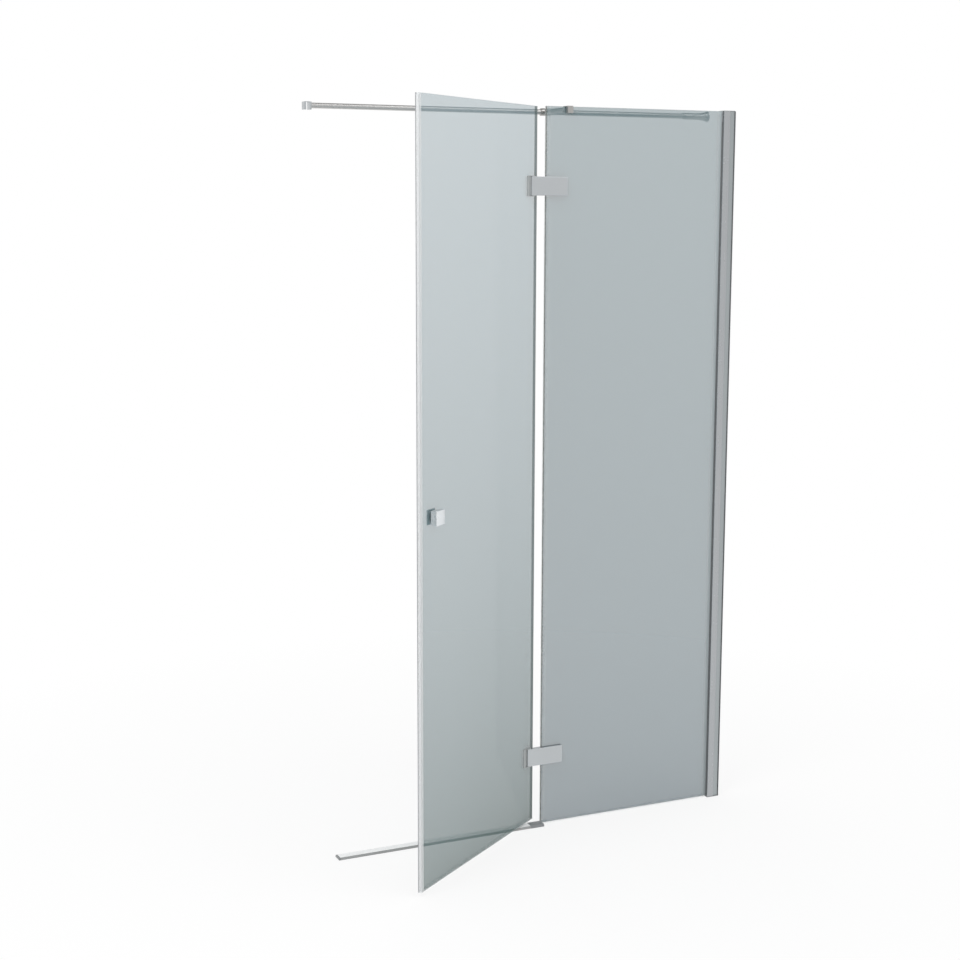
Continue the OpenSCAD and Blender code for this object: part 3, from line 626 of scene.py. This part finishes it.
class Bench:
    """The workbench: every call models with Blender's own tools, in millimetres."""

    TOUCH = 0.02 * MM
    WELD = 0.002 * MM

    @staticmethod
    def clear() -> None:
        """Leaves edit mode and deselects everything."""
        if bpy.context.object and bpy.context.object.mode != "OBJECT":
            bpy.ops.object.mode_set(mode="OBJECT")
        bpy.ops.object.select_all(action="DESELECT")

    @classmethod
    def hold(cls, *pieces: Piece) -> None:
        """Selects only the given pieces and makes the first one active.

        Args:
            pieces: The pieces.
        """
        cls.clear()
        for piece in pieces:
            piece.select_set(True)
        bpy.context.view_layer.objects.active = pieces[0]

    @staticmethod
    def freeze() -> None:
        """Moves the active piece's place into its mesh."""
        bpy.ops.object.transform_apply(location=True, rotation=True, scale=True)

    @staticmethod
    def push(step: Point) -> None:
        """Extrudes what is selected by a step."""
        move = {"value": [v * MM for v in step]}
        bpy.ops.mesh.extrude_region_move(TRANSFORM_OT_translate=move)

    @classmethod
    def walk(cls, name: str, path: Sequence[Point]) -> Piece:
        """Draws a chain of edges through the points of a path.

        Args:
            name: The piece's name.
            path: The points, in order.

        Returns:
            The piece, in edit mode.
        """
        cls.clear()
        bpy.ops.mesh.primitive_plane_add(size=MM, location=[v * MM for v in path[0]])
        piece = bpy.context.active_object
        piece.name = name
        cls.freeze()
        bpy.ops.object.mode_set(mode="EDIT")
        bpy.ops.mesh.select_mode(type="VERT")
        bpy.ops.mesh.select_all(action="SELECT")
        bpy.ops.mesh.merge(type="CENTER")
        for here, there in zip(path, path[1:]):
            cls.push(tuple(t - h for h, t in zip(here, there)))
        return piece

    @staticmethod
    def pick(piece: Piece, kind: Element, test: Callable[[object], bool]) -> None:
        """Selects the elements of a mesh that pass a test.

        Args:
            piece: The piece in edit mode.
            kind: What is selected.
            test: Tells whether an element is wanted; places are in metres.
        """
        bpy.ops.mesh.select_mode(type=kind.name)
        bpy.ops.mesh.select_all(action="DESELECT")
        mesh = bmesh.from_edit_mesh(piece.data)
        for element in getattr(mesh, kind.value):
            if test(element):
                element.select_set(True)
        mesh.select_flush_mode()
        bmesh.update_edit_mesh(piece.data)

    @classmethod
    def bar_stock(
        cls,
        name: str,
        outline: Sequence[Point],
        lift: Point,
        corners: Sequence[int] = (),
        radius: float = 0.0,
        soft: float = 0.0,
    ) -> Piece:
        """Makes a solid length of an extruded or moulded section.

        Args:
            name: The piece's name.
            outline: The section's corners, in one plane.
            lift: How far and where the section is drawn out.
            corners: Numbers of the section's corners that are rounded.
            radius: Radius of those corners.
            soft: Width of the rounding of the section's ends.

        Returns:
            The piece, in object mode.
        """
        piece = cls.walk(name, [*outline, outline[0]])
        bpy.ops.mesh.select_all(action="SELECT")
        bpy.ops.mesh.remove_doubles(threshold=cls.WELD)
        if corners:
            marks = [Vector(outline[number]) * MM for number in corners]
            cls.pick(
                piece, Element.VERT, lambda v: any((v.co - m).length < cls.TOUCH for m in marks)
            )
            bpy.ops.mesh.bevel(offset=radius * MM, segments=4, profile=0.5, affect="VERTICES")
        bpy.ops.mesh.select_all(action="SELECT")
        bpy.ops.mesh.edge_face_add()
        cls.push(lift)
        bpy.ops.mesh.select_all(action="SELECT")
        bpy.ops.mesh.normals_make_consistent(inside=False)
        if soft > 0.0:
            way = Vector(lift).normalized()
            cls.pick(
                piece,
                Element.EDGE,
                lambda e: abs((e.verts[0].co - e.verts[1].co).dot(way)) < cls.TOUCH,
            )
            bpy.ops.mesh.bevel(offset=soft * MM, segments=3, affect="EDGES")
        cls.clear()
        return piece

    @classmethod
    def block(cls, name: str, low: Point, high: Point, soft: float) -> Piece:
        """Makes a block with rounded edges, left in edit mode.

        Args:
            name: The piece's name.
            low: Its lowest corner.
            high: Its highest corner.
            soft: Radius of the edges.

        Returns:
            The piece.
        """
        cls.clear()
        middle = [(a + b) / 2 * MM for a, b in zip(low, high)]
        bpy.ops.mesh.primitive_cube_add(size=1.0, location=middle)
        piece = bpy.context.active_object
        piece.name = name
        piece.scale = [(b - a) * MM for a, b in zip(low, high)]
        cls.freeze()
        bpy.ops.object.mode_set(mode="EDIT")
        bpy.ops.mesh.select_mode(type="EDGE")
        bpy.ops.mesh.select_all(action="SELECT")
        bpy.ops.mesh.bevel(offset=soft * MM, segments=5, profile=0.5, affect="EDGES")
        return piece

    @classmethod
    def lathe(
        cls, name: str, outline: Sequence[Point], centre: Point, axis: Point, steps: int = 96
    ) -> Piece:
        """Spins an outline round an axis.

        Args:
            name: The piece's name.
            outline: The points of the half section.
            centre: A point on the axis.
            axis: Direction of the axis.
            steps: Number of facets round the axis.

        Returns:
            The piece, in object mode.
        """
        piece = cls.walk(name, outline)
        bpy.ops.mesh.select_all(action="SELECT")
        middle = [v * MM for v in centre]
        bpy.ops.mesh.spin(steps=steps, angle=2.0 * math.pi, center=middle, axis=axis)
        bpy.ops.mesh.select_all(action="SELECT")
        bpy.ops.mesh.remove_doubles(threshold=cls.WELD)
        bpy.ops.mesh.normals_make_consistent(inside=False)
        cls.clear()
        return piece

    @classmethod
    def join(cls, name: str, pieces: Sequence[Piece]) -> Piece:
        """Joins pieces into one.

        Args:
            name: The name of the joined piece.
            pieces: The pieces.

        Returns:
            The joined piece.
        """
        cls.hold(*pieces)
        bpy.ops.object.join()
        pieces[0].name = name
        return pieces[0]


@dataclass(frozen=True)
class Places:
    """Main places of the front in millimetres, the same as in the solids."""

    front_h: float = 1950.0
    half_glass: float = 4.0
    fixed_edge: float = -573.0
    pin_x: float = -615.0
    pin_y: float = -11.5
    leaf_out: float = 7.5
    leaf_in: float = 15.5
    leaf_hinge: float = 37.0
    leaf_free: float = -550.0
    leaf_foot: float = 11.0
    hinge_low: float = 200.0
    hinge_high: float = 1745.0
    hinge_break: float = 26.5
    bar_y: float = 134.0
    bar_z: float = 1942.6
    bar_r: float = 7.0
    mouth: float = -37.0
    seal_foot: float = 8.1
    slip: float = 0.05

    @property
    def leaf_middle(self) -> float:
        """Where the middle of the leaf's glass lies, across the leaf."""
        return (self.leaf_out + self.leaf_in) / 2


@dataclass
class Assembly:
    """A sub-assembly: it models its pieces, dresses them and hangs them on a body."""

    place: Places
    wardrobe: Wardrobe

    def build(self) -> None:
        """Makes the pieces."""
        raise NotImplementedError

    def settle(self, piece: Piece, body: Body, slot: Slot, node: str) -> None:
        """Finishes one piece, and swings a piece of the leaf to where the leaf stands.

        Args:
            piece: The piece.
            body: The body it moves with.
            slot: The slot of its finish.
            node: The solid that it stands for.
        """
        Bench.hold(piece)
        if body is Body.LEAF:
            piece.rotation_euler = (0.0, 0.0, OPEN)
            piece.location = (self.place.pin_x * MM, self.place.pin_y * MM, 0.0)
            Bench.freeze()
        bpy.ops.object.shade_smooth_by_angle(angle=math.radians(35.0))
        self.wardrobe.dress(piece, slot, piece.name)
        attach(piece, body.value)
        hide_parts(node)
        LOG.info("%s: %d faces", piece.name, len(piece.data.polygons))


@dataclass
class Bar(Assembly):
    """The stabiliser bar and its flared sleeve at the wall."""

    near: float = -1170.0
    far: float = -5.0
    bore: float = 5.5
    sleeve: float = 1.8
    flare_r: float = 14.6
    sleeve_l: float = 81.0
    flare_l: float = 40.0
    flare_start: float = 0.5
    base_r: float = 11.6
    base_t: float = 5.1
    chamfer: float = 0.3
    flare_steps: int = 22
    flare_power: float = 2.5
    lip: tuple[Row, ...] = ((0.0, 0.35), (0.15, 0.1))
    rim: tuple[Row, ...] = ((1.4, 0.0), (0.7, 0.15), (0.2, 0.55), (0.0, 1.0))

    def build(self) -> None:
        """Makes both pieces."""
        self.build_tube()
        self.build_trumpet()

    def spin(self, name: str, rows: Sequence[Row]) -> Piece:
        """Spins a half section round the bar's axis.

        Args:
            name: The piece's name.
            rows: Places along X and distances from the axis.

        Returns:
            The piece, in object mode.
        """
        p = self.place
        path = [(x, p.bar_y, p.bar_z + r) for x, r in rows]
        return Bench.lathe(name, path, (0.0, p.bar_y, p.bar_z), (1.0, 0.0, 0.0))

    def build_tube(self) -> None:
        """Spins the tube with a fine chamfer at both ends."""
        radius = self.place.bar_r
        edge = radius - self.chamfer
        rows = [
            (self.near, edge),
            (self.near + self.chamfer, radius),
            (self.far - self.chamfer, radius),
            (self.far, edge),
            (self.far, self.bore),
            (self.near, self.bore),
            (self.near, edge),
        ]
        tube = self.spin("bar_tube", rows)
        self.settle(tube, Body.FIXED, Slot.CHROME, "stabiliser_bar")

    def build_trumpet(self) -> None:
        """Spins the flared sleeve, with a rolled lip at both ends."""
        neck = self.place.bar_r + self.sleeve
        bore = self.place.bar_r + self.place.slip
        step = (self.flare_l - self.flare_start) / self.flare_steps
        flare = []
        for number in range(self.flare_steps + 1):
            out = self.flare_start + step * number
            share = max(0.0, 1.0 - out / self.flare_l)
            flare.append((out, neck + (self.flare_r - neck) * share**self.flare_power))
        lip = [(out, self.flare_r - drop) for out, drop in self.lip]
        rows = [
            *lip,
            *flare,
            *((self.sleeve_l - back, neck - drop) for back, drop in self.rim),
            (self.sleeve_l, bore),
            (self.base_t, bore),
            (self.base_t, self.base_r),
            (0.0, self.base_r),
            lip[0],
        ]
        trumpet = self.spin("wall_trumpet", [(-out, radius) for out, radius in rows])
        self.settle(trumpet, Body.FIXED, Slot.CHROME, "bar_trumpet")


@dataclass
class Knob(Assembly):
    """The square knob with its neck, and the plate on the shower side."""

    side: float = 38.0
    thick: float = 14.0
    neck_l: float = 4.5
    neck_in: float = 0.2
    plate_t: float = 3.0
    washer_t: float = 1.0
    soft: float = 1.6
    plate_soft: float = 0.8
    middle_x: float = -488.0
    middle_z: float = 948.0
    grub_r: float = 2.05
    grub_set: float = 5.0
    rim: float = 2.0
    rim_slope: float = 0.3
    field_deep: float = 0.2
    squarely: float = 0.99

    def build(self) -> None:
        """Makes both halves."""
        self.build_outer()
        self.build_inner()

    def square(self, name: str, near: float, thick: float, soft: float) -> Piece:
        """Makes a square block and selects the face on its shower side.

        Args:
            name: The piece's name.
            near: Its face on the room side, across the leaf.
            thick: Its thickness.
            soft: Radius of its edges.

        Returns:
            The piece, in edit mode.
        """
        half = self.side / 2
        low = (self.middle_x - half, near, self.middle_z - half)
        high = (self.middle_x + half, near + thick, self.middle_z + half)
        piece = Bench.block(name, low, high, soft)
        Bench.pick(piece, Element.FACE, lambda face: face.normal.y > self.squarely)
        return piece

    def build_outer(self) -> None:
        """Bevels the block, insets its back face and draws the neck out to the glass."""
        back = self.place.leaf_out - self.washer_t - self.neck_l
        knob = self.square("knob_block", back - self.thick, self.thick, self.soft)
        bpy.ops.mesh.inset(thickness=self.neck_in * MM, depth=0.0)
        Bench.push((0.0, self.neck_l, 0.0))
        self.drill(knob, back - self.grub_set)
        self.settle(knob, Body.LEAF, Slot.CHROME, "outer_knob")

    def drill(self, knob: Piece, y: float) -> None:
        """Bores the hole of the grub screw into the underside.

        Args:
            knob: The knob's block.
            y: Where the hole lies, across the leaf.
        """
        Bench.clear()
        half = self.side / 2
        bpy.ops.mesh.primitive_cylinder_add(
            vertices=32,
            radius=self.grub_r * MM,
            depth=half * MM,
            location=[v * MM for v in (self.middle_x, y, self.middle_z - half)],
        )
        cutter = bpy.context.active_object
        Bench.freeze()
        Bench.hold(knob)
        cut = knob.modifiers.new("grub_hole", "BOOLEAN")
        cut.operation = "DIFFERENCE"
        cut.object = cutter
        bpy.ops.object.modifier_apply(modifier=cut.name)
        bpy.data.objects.remove(cutter, do_unlink=True)

    def build_inner(self) -> None:
        """Bevels the thin plate and presses a shallow field into its face."""
        near = self.place.leaf_in + self.washer_t
        plate = self.square("knob_plate", near, self.plate_t, self.plate_soft)
        bpy.ops.mesh.inset(thickness=self.rim * MM, depth=0.0)
        bpy.ops.mesh.inset(thickness=self.rim_slope * MM, depth=-self.field_deep * MM)
        self.settle(plate, Body.LEAF, Slot.CHROME, "inner_knob_plate")


@dataclass
class PanelSeals(Assembly):
    """The clear seals on the fixed glass: the edge seal with its fin, and the foot seal."""

    leg: float = 11.0
    wall: float = 1.0
    back_t: float = 1.5
    fin_x: float = -577.5
    fin_root: Row = (-3.7, -1.9)
    fin_tip: tuple[Row, ...] = ((0.6, -3.5), (0.0, -3.1), (0.6, -2.5))
    edge_soft: float = 0.4
    foot_leg: float = 7.0
    foot_rise: float = 3.0
    foot_wide: float = 2.0
    foot_gap: float = 1.5
    foot_end: float = 1.6
    foot_soft: float = 0.3

    def build(self) -> None:
        """Makes both seals."""
        self.build_edge()
        self.build_foot()

    def build_edge(self) -> None:
        """Draws the U section with its curved fin up the glass edge, between the hinges."""
        p = self.place
        line = p.half_glass + p.slip
        out = line + self.wall
        far = p.fixed_edge + self.leg
        near = p.fixed_edge - p.slip
        back = near - self.back_t
        rows = [
            (far, -out),
            (back, -out),
            (back, self.fin_root[0]),
            *((self.fin_x + step, y) for step, y in self.fin_tip),
            (back, self.fin_root[1]),
            (back, out),
            (far, out),
            (far, line),
            (near, line),
            (near, -line),
            (far, -line),
        ]
        heights = [p.seal_foot]
        for hinge in (p.hinge_low, p.hinge_high):
            heights += [hinge - p.hinge_break, hinge + p.hinge_break]
        heights.append(p.front_h)
        lengths = []
        for low, high in zip(heights[::2], heights[1::2]):
            section = [(x, y, low) for x, y in rows]
            lift = (0.0, 0.0, high - low)
            length = Bench.bar_stock("edge_length", section, lift, (0, 1, 7, 8), self.edge_soft)
            lengths.append(length)
        seal = Bench.join("panel_edge_seal", lengths)
        self.settle(seal, Body.FIXED, Slot.CLEAR, "fixed_edge_seal")

    def build_foot(self) -> None:
        """Draws the foot section along the tray."""
        p = self.place
        start = p.fixed_edge + self.foot_gap
        lift = (p.mouth - self.foot_end - start, 0.0, 0.0)
        half = p.half_glass + p.slip
        rows = [
            (-half - self.foot_wide, 0.0),
            (half + self.foot_wide, 0.0),
            (half + self.wall, self.foot_leg),
            (half, self.foot_leg),
            (half, self.foot_rise),
            (-half, self.foot_rise),
            (-half, self.foot_leg),
            (-half - self.wall, self.foot_leg),
        ]
        section = [(start, y, z) for y, z in rows]
        foot = Bench.bar_stock("panel_foot_seal", section, lift, (0, 1, 2, 7), self.foot_soft)
        self.settle(foot, Body.FIXED, Slot.CLEAR, "fixed_bottom_seal")


@dataclass
class LeafSeals(Assembly):
    """The leaf's magnet seal and its drip seal, modelled in the leaf's own frame."""

    wall: float = 1.0
    magnet_reach: float = 5.0
    magnet_leg: float = 6.0
    magnet_soft: float = 0.9
    drip_gap: float = 0.5
    drip_leg: float = 5.0
    drip_back: float = 1.2
    drip_soft: float = 0.25
    lip_root: Row = (1.0, 3.2)
    lip_near: Row = (-1.2, 0.9)
    lip_far: Row = (0.3, 0.8)
    lip_foot: Row = (0.8, 1.6)
    lip_drop: float = 2.2

    def build(self) -> None:
        """Makes both seals."""
        self.build_magnet_seal()
        self.build_drip_seal()

    def build_magnet_seal(self) -> None:
        """Draws the outer skin and the root wall of the chamber up the free edge."""
        p = self.place
        line = p.half_glass + p.slip
        out = line + self.wall
        foot = p.leaf_foot - self.drip_back
        lift = (0.0, 0.0, p.front_h - foot)
        tip = p.leaf_free + self.magnet_leg
        nose = p.leaf_free - self.magnet_reach
        root = p.leaf_free - p.slip
        skin = [
            (tip, -out),
            (nose, -out),
            (nose, out),
            (tip, out),
            (tip, line),
            (nose + self.wall, line),
            (nose + self.wall, -line),
            (tip, -line),
        ]
        wall = [(root - self.wall, -line), (root - self.wall, line), (root, line), (root, -line)]
        outer, inner = ([(x, p.leaf_middle + y, foot) for x, y in rows] for rows in (skin, wall))
        parts = [
            Bench.bar_stock("magnet_skin", outer, lift, (1, 2), self.magnet_soft),
            Bench.bar_stock("magnet_root", inner, lift),
        ]
        seal = Bench.join("free_edge_seal", parts)
        self.settle(seal, Body.LEAF, Slot.CLEAR, "magnet_seal")

    def build_drip_seal(self) -> None:
        """Draws the section with its wiping lip along the leaf's foot."""
        p = self.place
        start = p.leaf_free + self.magnet_leg + self.drip_gap
        lift = (p.leaf_hinge - start, 0.0, 0.0)
        half = p.half_glass + p.slip
        top = p.leaf_foot - p.slip
        back = top - self.drip_back
        leg = top + self.drip_leg
        foot = back - self.lip_drop
        rows = [
            (-half - self.wall, back),
            (self.lip_root[0] - half, back),
            (self.lip_near[0], back - self.lip_near[1]),
            (self.lip_foot[0], foot),
            (self.lip_foot[1], foot),
            (self.lip_far[0], back - self.lip_far[1]),
            (self.lip_root[1] - half, back),
            (half + self.wall, back),
            (half + self.wall, leg),
            (half, leg),
            (half, top),
            (-half, top),
            (-half, leg),
            (-half - self.wall, leg),
        ]
        section = [(start, p.leaf_middle + y, z) for y, z in rows]
        corners = (0, 3, 4, 7, 8, 13)
        seal = Bench.bar_stock("leaf_drip_seal", section, lift, corners, self.drip_soft)
        self.settle(seal, Body.LEAF, Slot.CLEAR, "drip_seal")


@dataclass
class GlazingGaskets(Assembly):
    """The two dark wedge gaskets between the wall profile and the fixed glass."""

    width: float = 4.0
    bite: float = 9.0
    lip_t: float = 1.5
    lip_w: float = 0.8
    lip_back: float = 1.0
    lip_slope: float = 0.5
    lip_soft: float = 0.45
    profile_t: float = 1.8
    crush: float = 0.7
    taper: float = 1.5
    tail: float = 1.0
    foot: float = 1.5
    tongue: float = 28.1

    def build(self) -> None:
        """Makes both gaskets."""
        top = self.place.front_h
        self.build_wedge("room_gasket", -1.0, top - self.tongue, "outer_glazing_gasket")
        # The shower gasket's finish is painted light: a near white copy of the rubber.
        self.build_wedge("shower_gasket", 1.0, top, "inner_glazing_gasket")

    def build_wedge(self, name: str, side: float, top: float, node: str) -> None:
        """Draws one wedge up the profile, with a rounded lip.

        Args:
            name: The piece's name.
            side: -1 for the room side, 1 for the shower side.
            top: Height of its upper end.
            node: The solid that it stands for.
        """
        p = self.place
        far = p.half_glass + self.width
        end = p.mouth + self.bite - self.tail
        rows = [
            (p.mouth - self.lip_t, p.half_glass),
            (p.mouth - self.lip_t, far - self.lip_back),
            (p.mouth - self.lip_slope, far + self.lip_w),
            (p.mouth, far + self.lip_w),
            (p.mouth, far),
            (p.mouth + self.profile_t, far),
            (p.mouth + self.profile_t, far + self.crush),
            (end, far - self.taper),
            (end, p.half_glass),
        ]
        section = [(x, side * y, self.foot) for x, y in rows]
        lift = (0.0, 0.0, top - self.foot)
        wedge = Bench.bar_stock(name, section, lift, (0, 1, 2), self.lip_soft)
        self.settle(wedge, Body.FIXED, Slot.RUBBER, node)


@dataclass
class ScrewCaps(Assembly):
    """Domed covers over the three adjusting screws on the shower side of the profile."""

    x: float = -21.2
    y: float = 13.0
    heights: tuple[float, ...] = (150.0, 975.0, 1800.0)
    shoulder: tuple[Row, ...] = ((4.6, 0.0), (4.55, 1.6), (4.1, 2.56))
    dome: tuple[Row, ...] = ((2.99, 3.04), (1.38, 3.168), (0.0, 3.2))

    def build(self) -> None:
        """Spins one cover over each screw."""
        covers = []
        for height in self.heights:
            rows = self.shoulder + self.dome
            path = [(self.x, self.y + out, height + radius) for radius, out in rows]
            centre = (self.x, self.y, height)
            covers.append(Bench.lathe("cap_dome", path, centre, (0.0, 1.0, 0.0), steps=48))
        caps = Bench.join("adjuster_covers", covers)
        self.settle(caps, Body.FIXED, Slot.GREY, "adjusting_screw_caps")


@dataclass
class Threshold(Assembly):
    """The low strip across the tray edge, its shoe at the hinge end and its end cap.

    Toe, brow and heel say how far in a corner lies and its share of the height.
    """

    front: float = -26.0
    back: float = 4.0
    height: float = 7.0
    skin: float = 0.8
    start: float = -1174.0
    cap_l: float = 4.0
    shoe_near: float = -613.3
    shoe_far: float = -573.3
    wall: float = 1.4
    toe: Row = (1.5, 0.72)
    brow: Row = (4.0, 0.92)
    crown: float = 8.0
    heel: Row = (3.0, 0.9)
    inner_toe: Row = (3.0, 0.7)
    inner_brow: float = 5.0
    inner_heel: float = 4.5
    inner_back: float = 2.5
    strip_soft: float = 1.0
    end_soft: float = 0.9
    face_soft: float = 0.3

    def build(self) -> None:
        """Makes the three pieces."""
        self.build_strip()
        shoe = (self.shoe_near, self.shoe_far)
        self.build_end("threshold_shoe_moulding", "threshold_shoe", shoe, self.skin)
        cap = (self.start, self.start + self.cap_l)
        self.build_end("threshold_cap_moulding", "threshold_end_cap", cap, 0.0)

    def outline(self, grow: float) -> list[Row]:
        """The ramp section across the tray edge.

        Args:
            grow: How far the section stands proud of the strip's.

        Returns:
            Its corners: places along Y and heights.
        """
        return [
            (self.front - grow, 0.0),
            (self.front + self.toe[0] - grow, self.height * self.toe[1]),
            (self.front + self.brow[0] - grow, self.height * self.brow[1] + grow),
            (self.back - self.crown, self.height + grow),
            (self.back - self.heel[0] + grow, self.height * self.heel[1] + grow),
            (self.back + grow, 0.0),
        ]

    def hollow(self) -> list[Row]:
        """The inner line of the strip, from its back to its front.

        Returns:
            Its corners: places along Y and heights.
        """
        return [
            (self.back - self.inner_back, 0.0),
            (self.back - self.inner_heel, self.height * self.heel[1] - self.wall),
            (self.back - self.crown, self.height - self.wall),
            (self.front + self.inner_brow, self.height * self.brow[1] - self.wall),
            (self.front + self.inner_toe[0], self.height * self.inner_toe[1]),
            (self.front + self.inner_toe[0], 0.0),
        ]

    def build_strip(self) -> None:
        """Draws the hollow strip, its long edges rounded as extrusions are."""
        near = self.start + self.cap_l
        lift = ((self.shoe_near + self.shoe_far) / 2 - near, 0.0, 0.0)
        section = [(near, y, z) for y, z in [*self.outline(0.0), *self.hollow()]]
        strip = Bench.bar_stock("threshold_rail", section, lift, (1, 2, 3, 4), self.strip_soft)
        self.settle(strip, Body.FIXED, Slot.SATIN, "threshold_strip")

    def build_end(self, name: str, node: str, ends: Row, grow: float) -> None:
        """Moulds one end piece round the strip's section.

        Args:
            name: The piece's name.
            node: The solid that it stands for.
            ends: Where it starts and ends along X.
            grow: How far it stands proud of the strip.
        """
        section = [(ends[0], y, z) for y, z in self.outline(grow)]
        lift = (ends[1] - ends[0], 0.0, 0.0)
        end = Bench.bar_stock(name, section, lift, (1, 2, 3, 4), self.end_soft, self.face_soft)
        self.settle(end, Body.FIXED, Slot.GREY, node)


@dataclass(frozen=True)
class Lamp:
    """A square area lamp that faces a target."""

    name: str
    place: Direction
    target: Direction
    size: float
    power: float

    def build(self) -> None:
        """Hangs the lamp."""
        data = bpy.data.lights.new(self.name, "AREA")
        data.size = self.size
        data.energy = self.power
        lamp = bpy.data.objects.new(self.name, data)
        bpy.context.scene.collection.objects.link(lamp)
        lamp.location = self.place
        aim = Vector(self.target) - Vector(self.place)
        lamp.rotation_euler = aim.to_track_quat("-Z", "Y").to_euler()


@dataclass
class Studio:
    """Camera, floor, lamps and sky of a plain white studio."""

    camera_place: Direction = (-2.565296, -3.958564, 1.684621)
    right: Direction = (0.90992075, -0.41477624, 0.00221134)
    up: Direction = (0.06440124, 0.14654371, 0.98710558)
    ahead: Direction = (0.40975200, 0.89804544, -0.16005527)
    lens: float = 62.5744
    floor_radius: float = 9.0
    floor_centre: Row = (-0.7, -0.1)
    floor_drop: float = 0.0006
    near_glow: float = 0.80
    fade_from: float = 0.7
    fade_over: float = 1.6
    sky_light: float = 0.78
    sky_low: float = 0.96
    sky_fall: float = 0.36
    horizon: float = 0.22
    horizon_over: float = 0.25
    lamps: tuple[Lamp, ...] = (
        Lamp("key", (-3.4, -1.6, 4.2), (-0.7, 0.0, 0.8), 2.4, 70.0),
        Lamp("fill", (1.0, -2.2, 4.6), (-0.6, 0.0, 0.9), 2.0, 30.0),
    )

    def build(self) -> None:
        """Makes everything that isn't part of the front."""
        self.make_camera()
        self.make_floor()
        self.make_sky()
        for lamp in self.lamps:
            lamp.build()
        bpy.context.scene.view_settings.view_transform = "Standard"

    def make_camera(self) -> None:
        """Places the camera that was solved from the photograph."""
        data = bpy.data.cameras.new("photo_camera")
        data.sensor_fit = "HORIZONTAL"
        data.sensor_width = 36.0
        data.lens = self.lens
        data.clip_start = 0.05
        data.clip_end = 60.0
        camera = bpy.data.objects.new("photo_camera", data)
        bpy.context.scene.collection.objects.link(camera)
        turn = Matrix((self.right, self.up, -Vector(self.ahead))).transposed()
        camera.matrix_world = Matrix.Translation(self.camera_place) @ turn.to_4x4()
        bpy.context.scene.camera = camera

    def make_floor(self) -> None:
        """Makes a round pale floor that fades into the white sky."""
        Bench.clear()
        bpy.ops.mesh.primitive_circle_add(
            vertices=96,
            radius=self.floor_radius,
            fill_type="NGON",
            location=(*self.floor_centre, -self.floor_drop),
        )
        floor = bpy.context.active_object
        floor.name = "studio_floor"
        Bench.freeze()
        material, recipe = new_recipe("pale_floor")
        dx = recipe.reach((1.0, 0.0, 0.0)) - self.floor_centre[0]
        dy = recipe.reach((0.0, 1.0, 0.0)) - self.floor_centre[1]
        far = (dx * dx + dy * dy) ** 0.5
        outer = ((far - self.fade_from) / self.fade_over).limited()
        fade = self.near_glow + outer * (1.0 - self.near_glow)
        seen = recipe.rays("Camera", "Glossy", "Transmission")
        grey = {"Base Color": (0.90, 0.90, 0.90, 1.0), "Roughness": 0.8, "Specular IOR Level": 0.1}
        matt = recipe.node("ShaderNodeBsdfPrincipled", grey)
        glow = recipe.node("ShaderNodeEmission", {"Color": WHITE})
        shaders = {0: fade * seen, 1: matt.outputs[0], 2: glow.outputs[0]}
        recipe.close(recipe.node("ShaderNodeMixShader", shaders))
        floor.data.materials.append(material)

    def make_sky(self) -> None:
        """Makes the sky: white where it is seen, softer where it only lights."""
        world = bpy.data.worlds.new("white_sky")
        world.use_nodes = True
        recipe = Recipe(world.node_tree)
        seen = recipe.rays("Camera", "Transmission")
        glossy = recipe.rays("Glossy")
        height = recipe.along("Generated", UP)
        rise = ((height - self.horizon) / self.horizon_over).limited()
        base = self.sky_light
        mirrored = base + (1.0 - rise) * (self.sky_low - base) - rise * self.sky_fall
        strength = base + seen * (1.0 - base) + glossy * (mirrored - base)
        sky = recipe.node("ShaderNodeBackground", {"Color": WHITE, "Strength": strength})
        recipe.close(sky, "ShaderNodeOutputWorld")
        bpy.context.scene.world = world


def main() -> None:
    """Builds the scene."""
    logging.basicConfig(level=logging.INFO, format="%(message)s")
    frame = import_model()
    Studio().build()
    place = Places()
    wardrobe = Wardrobe()
    wardrobe.dress_solids(frame)
    for kind in (Bar, Knob, PanelSeals, LeafSeals, GlazingGaskets, ScrewCaps, Threshold):
        kind(place, wardrobe).build()


if __name__ == "__main__":
    main()
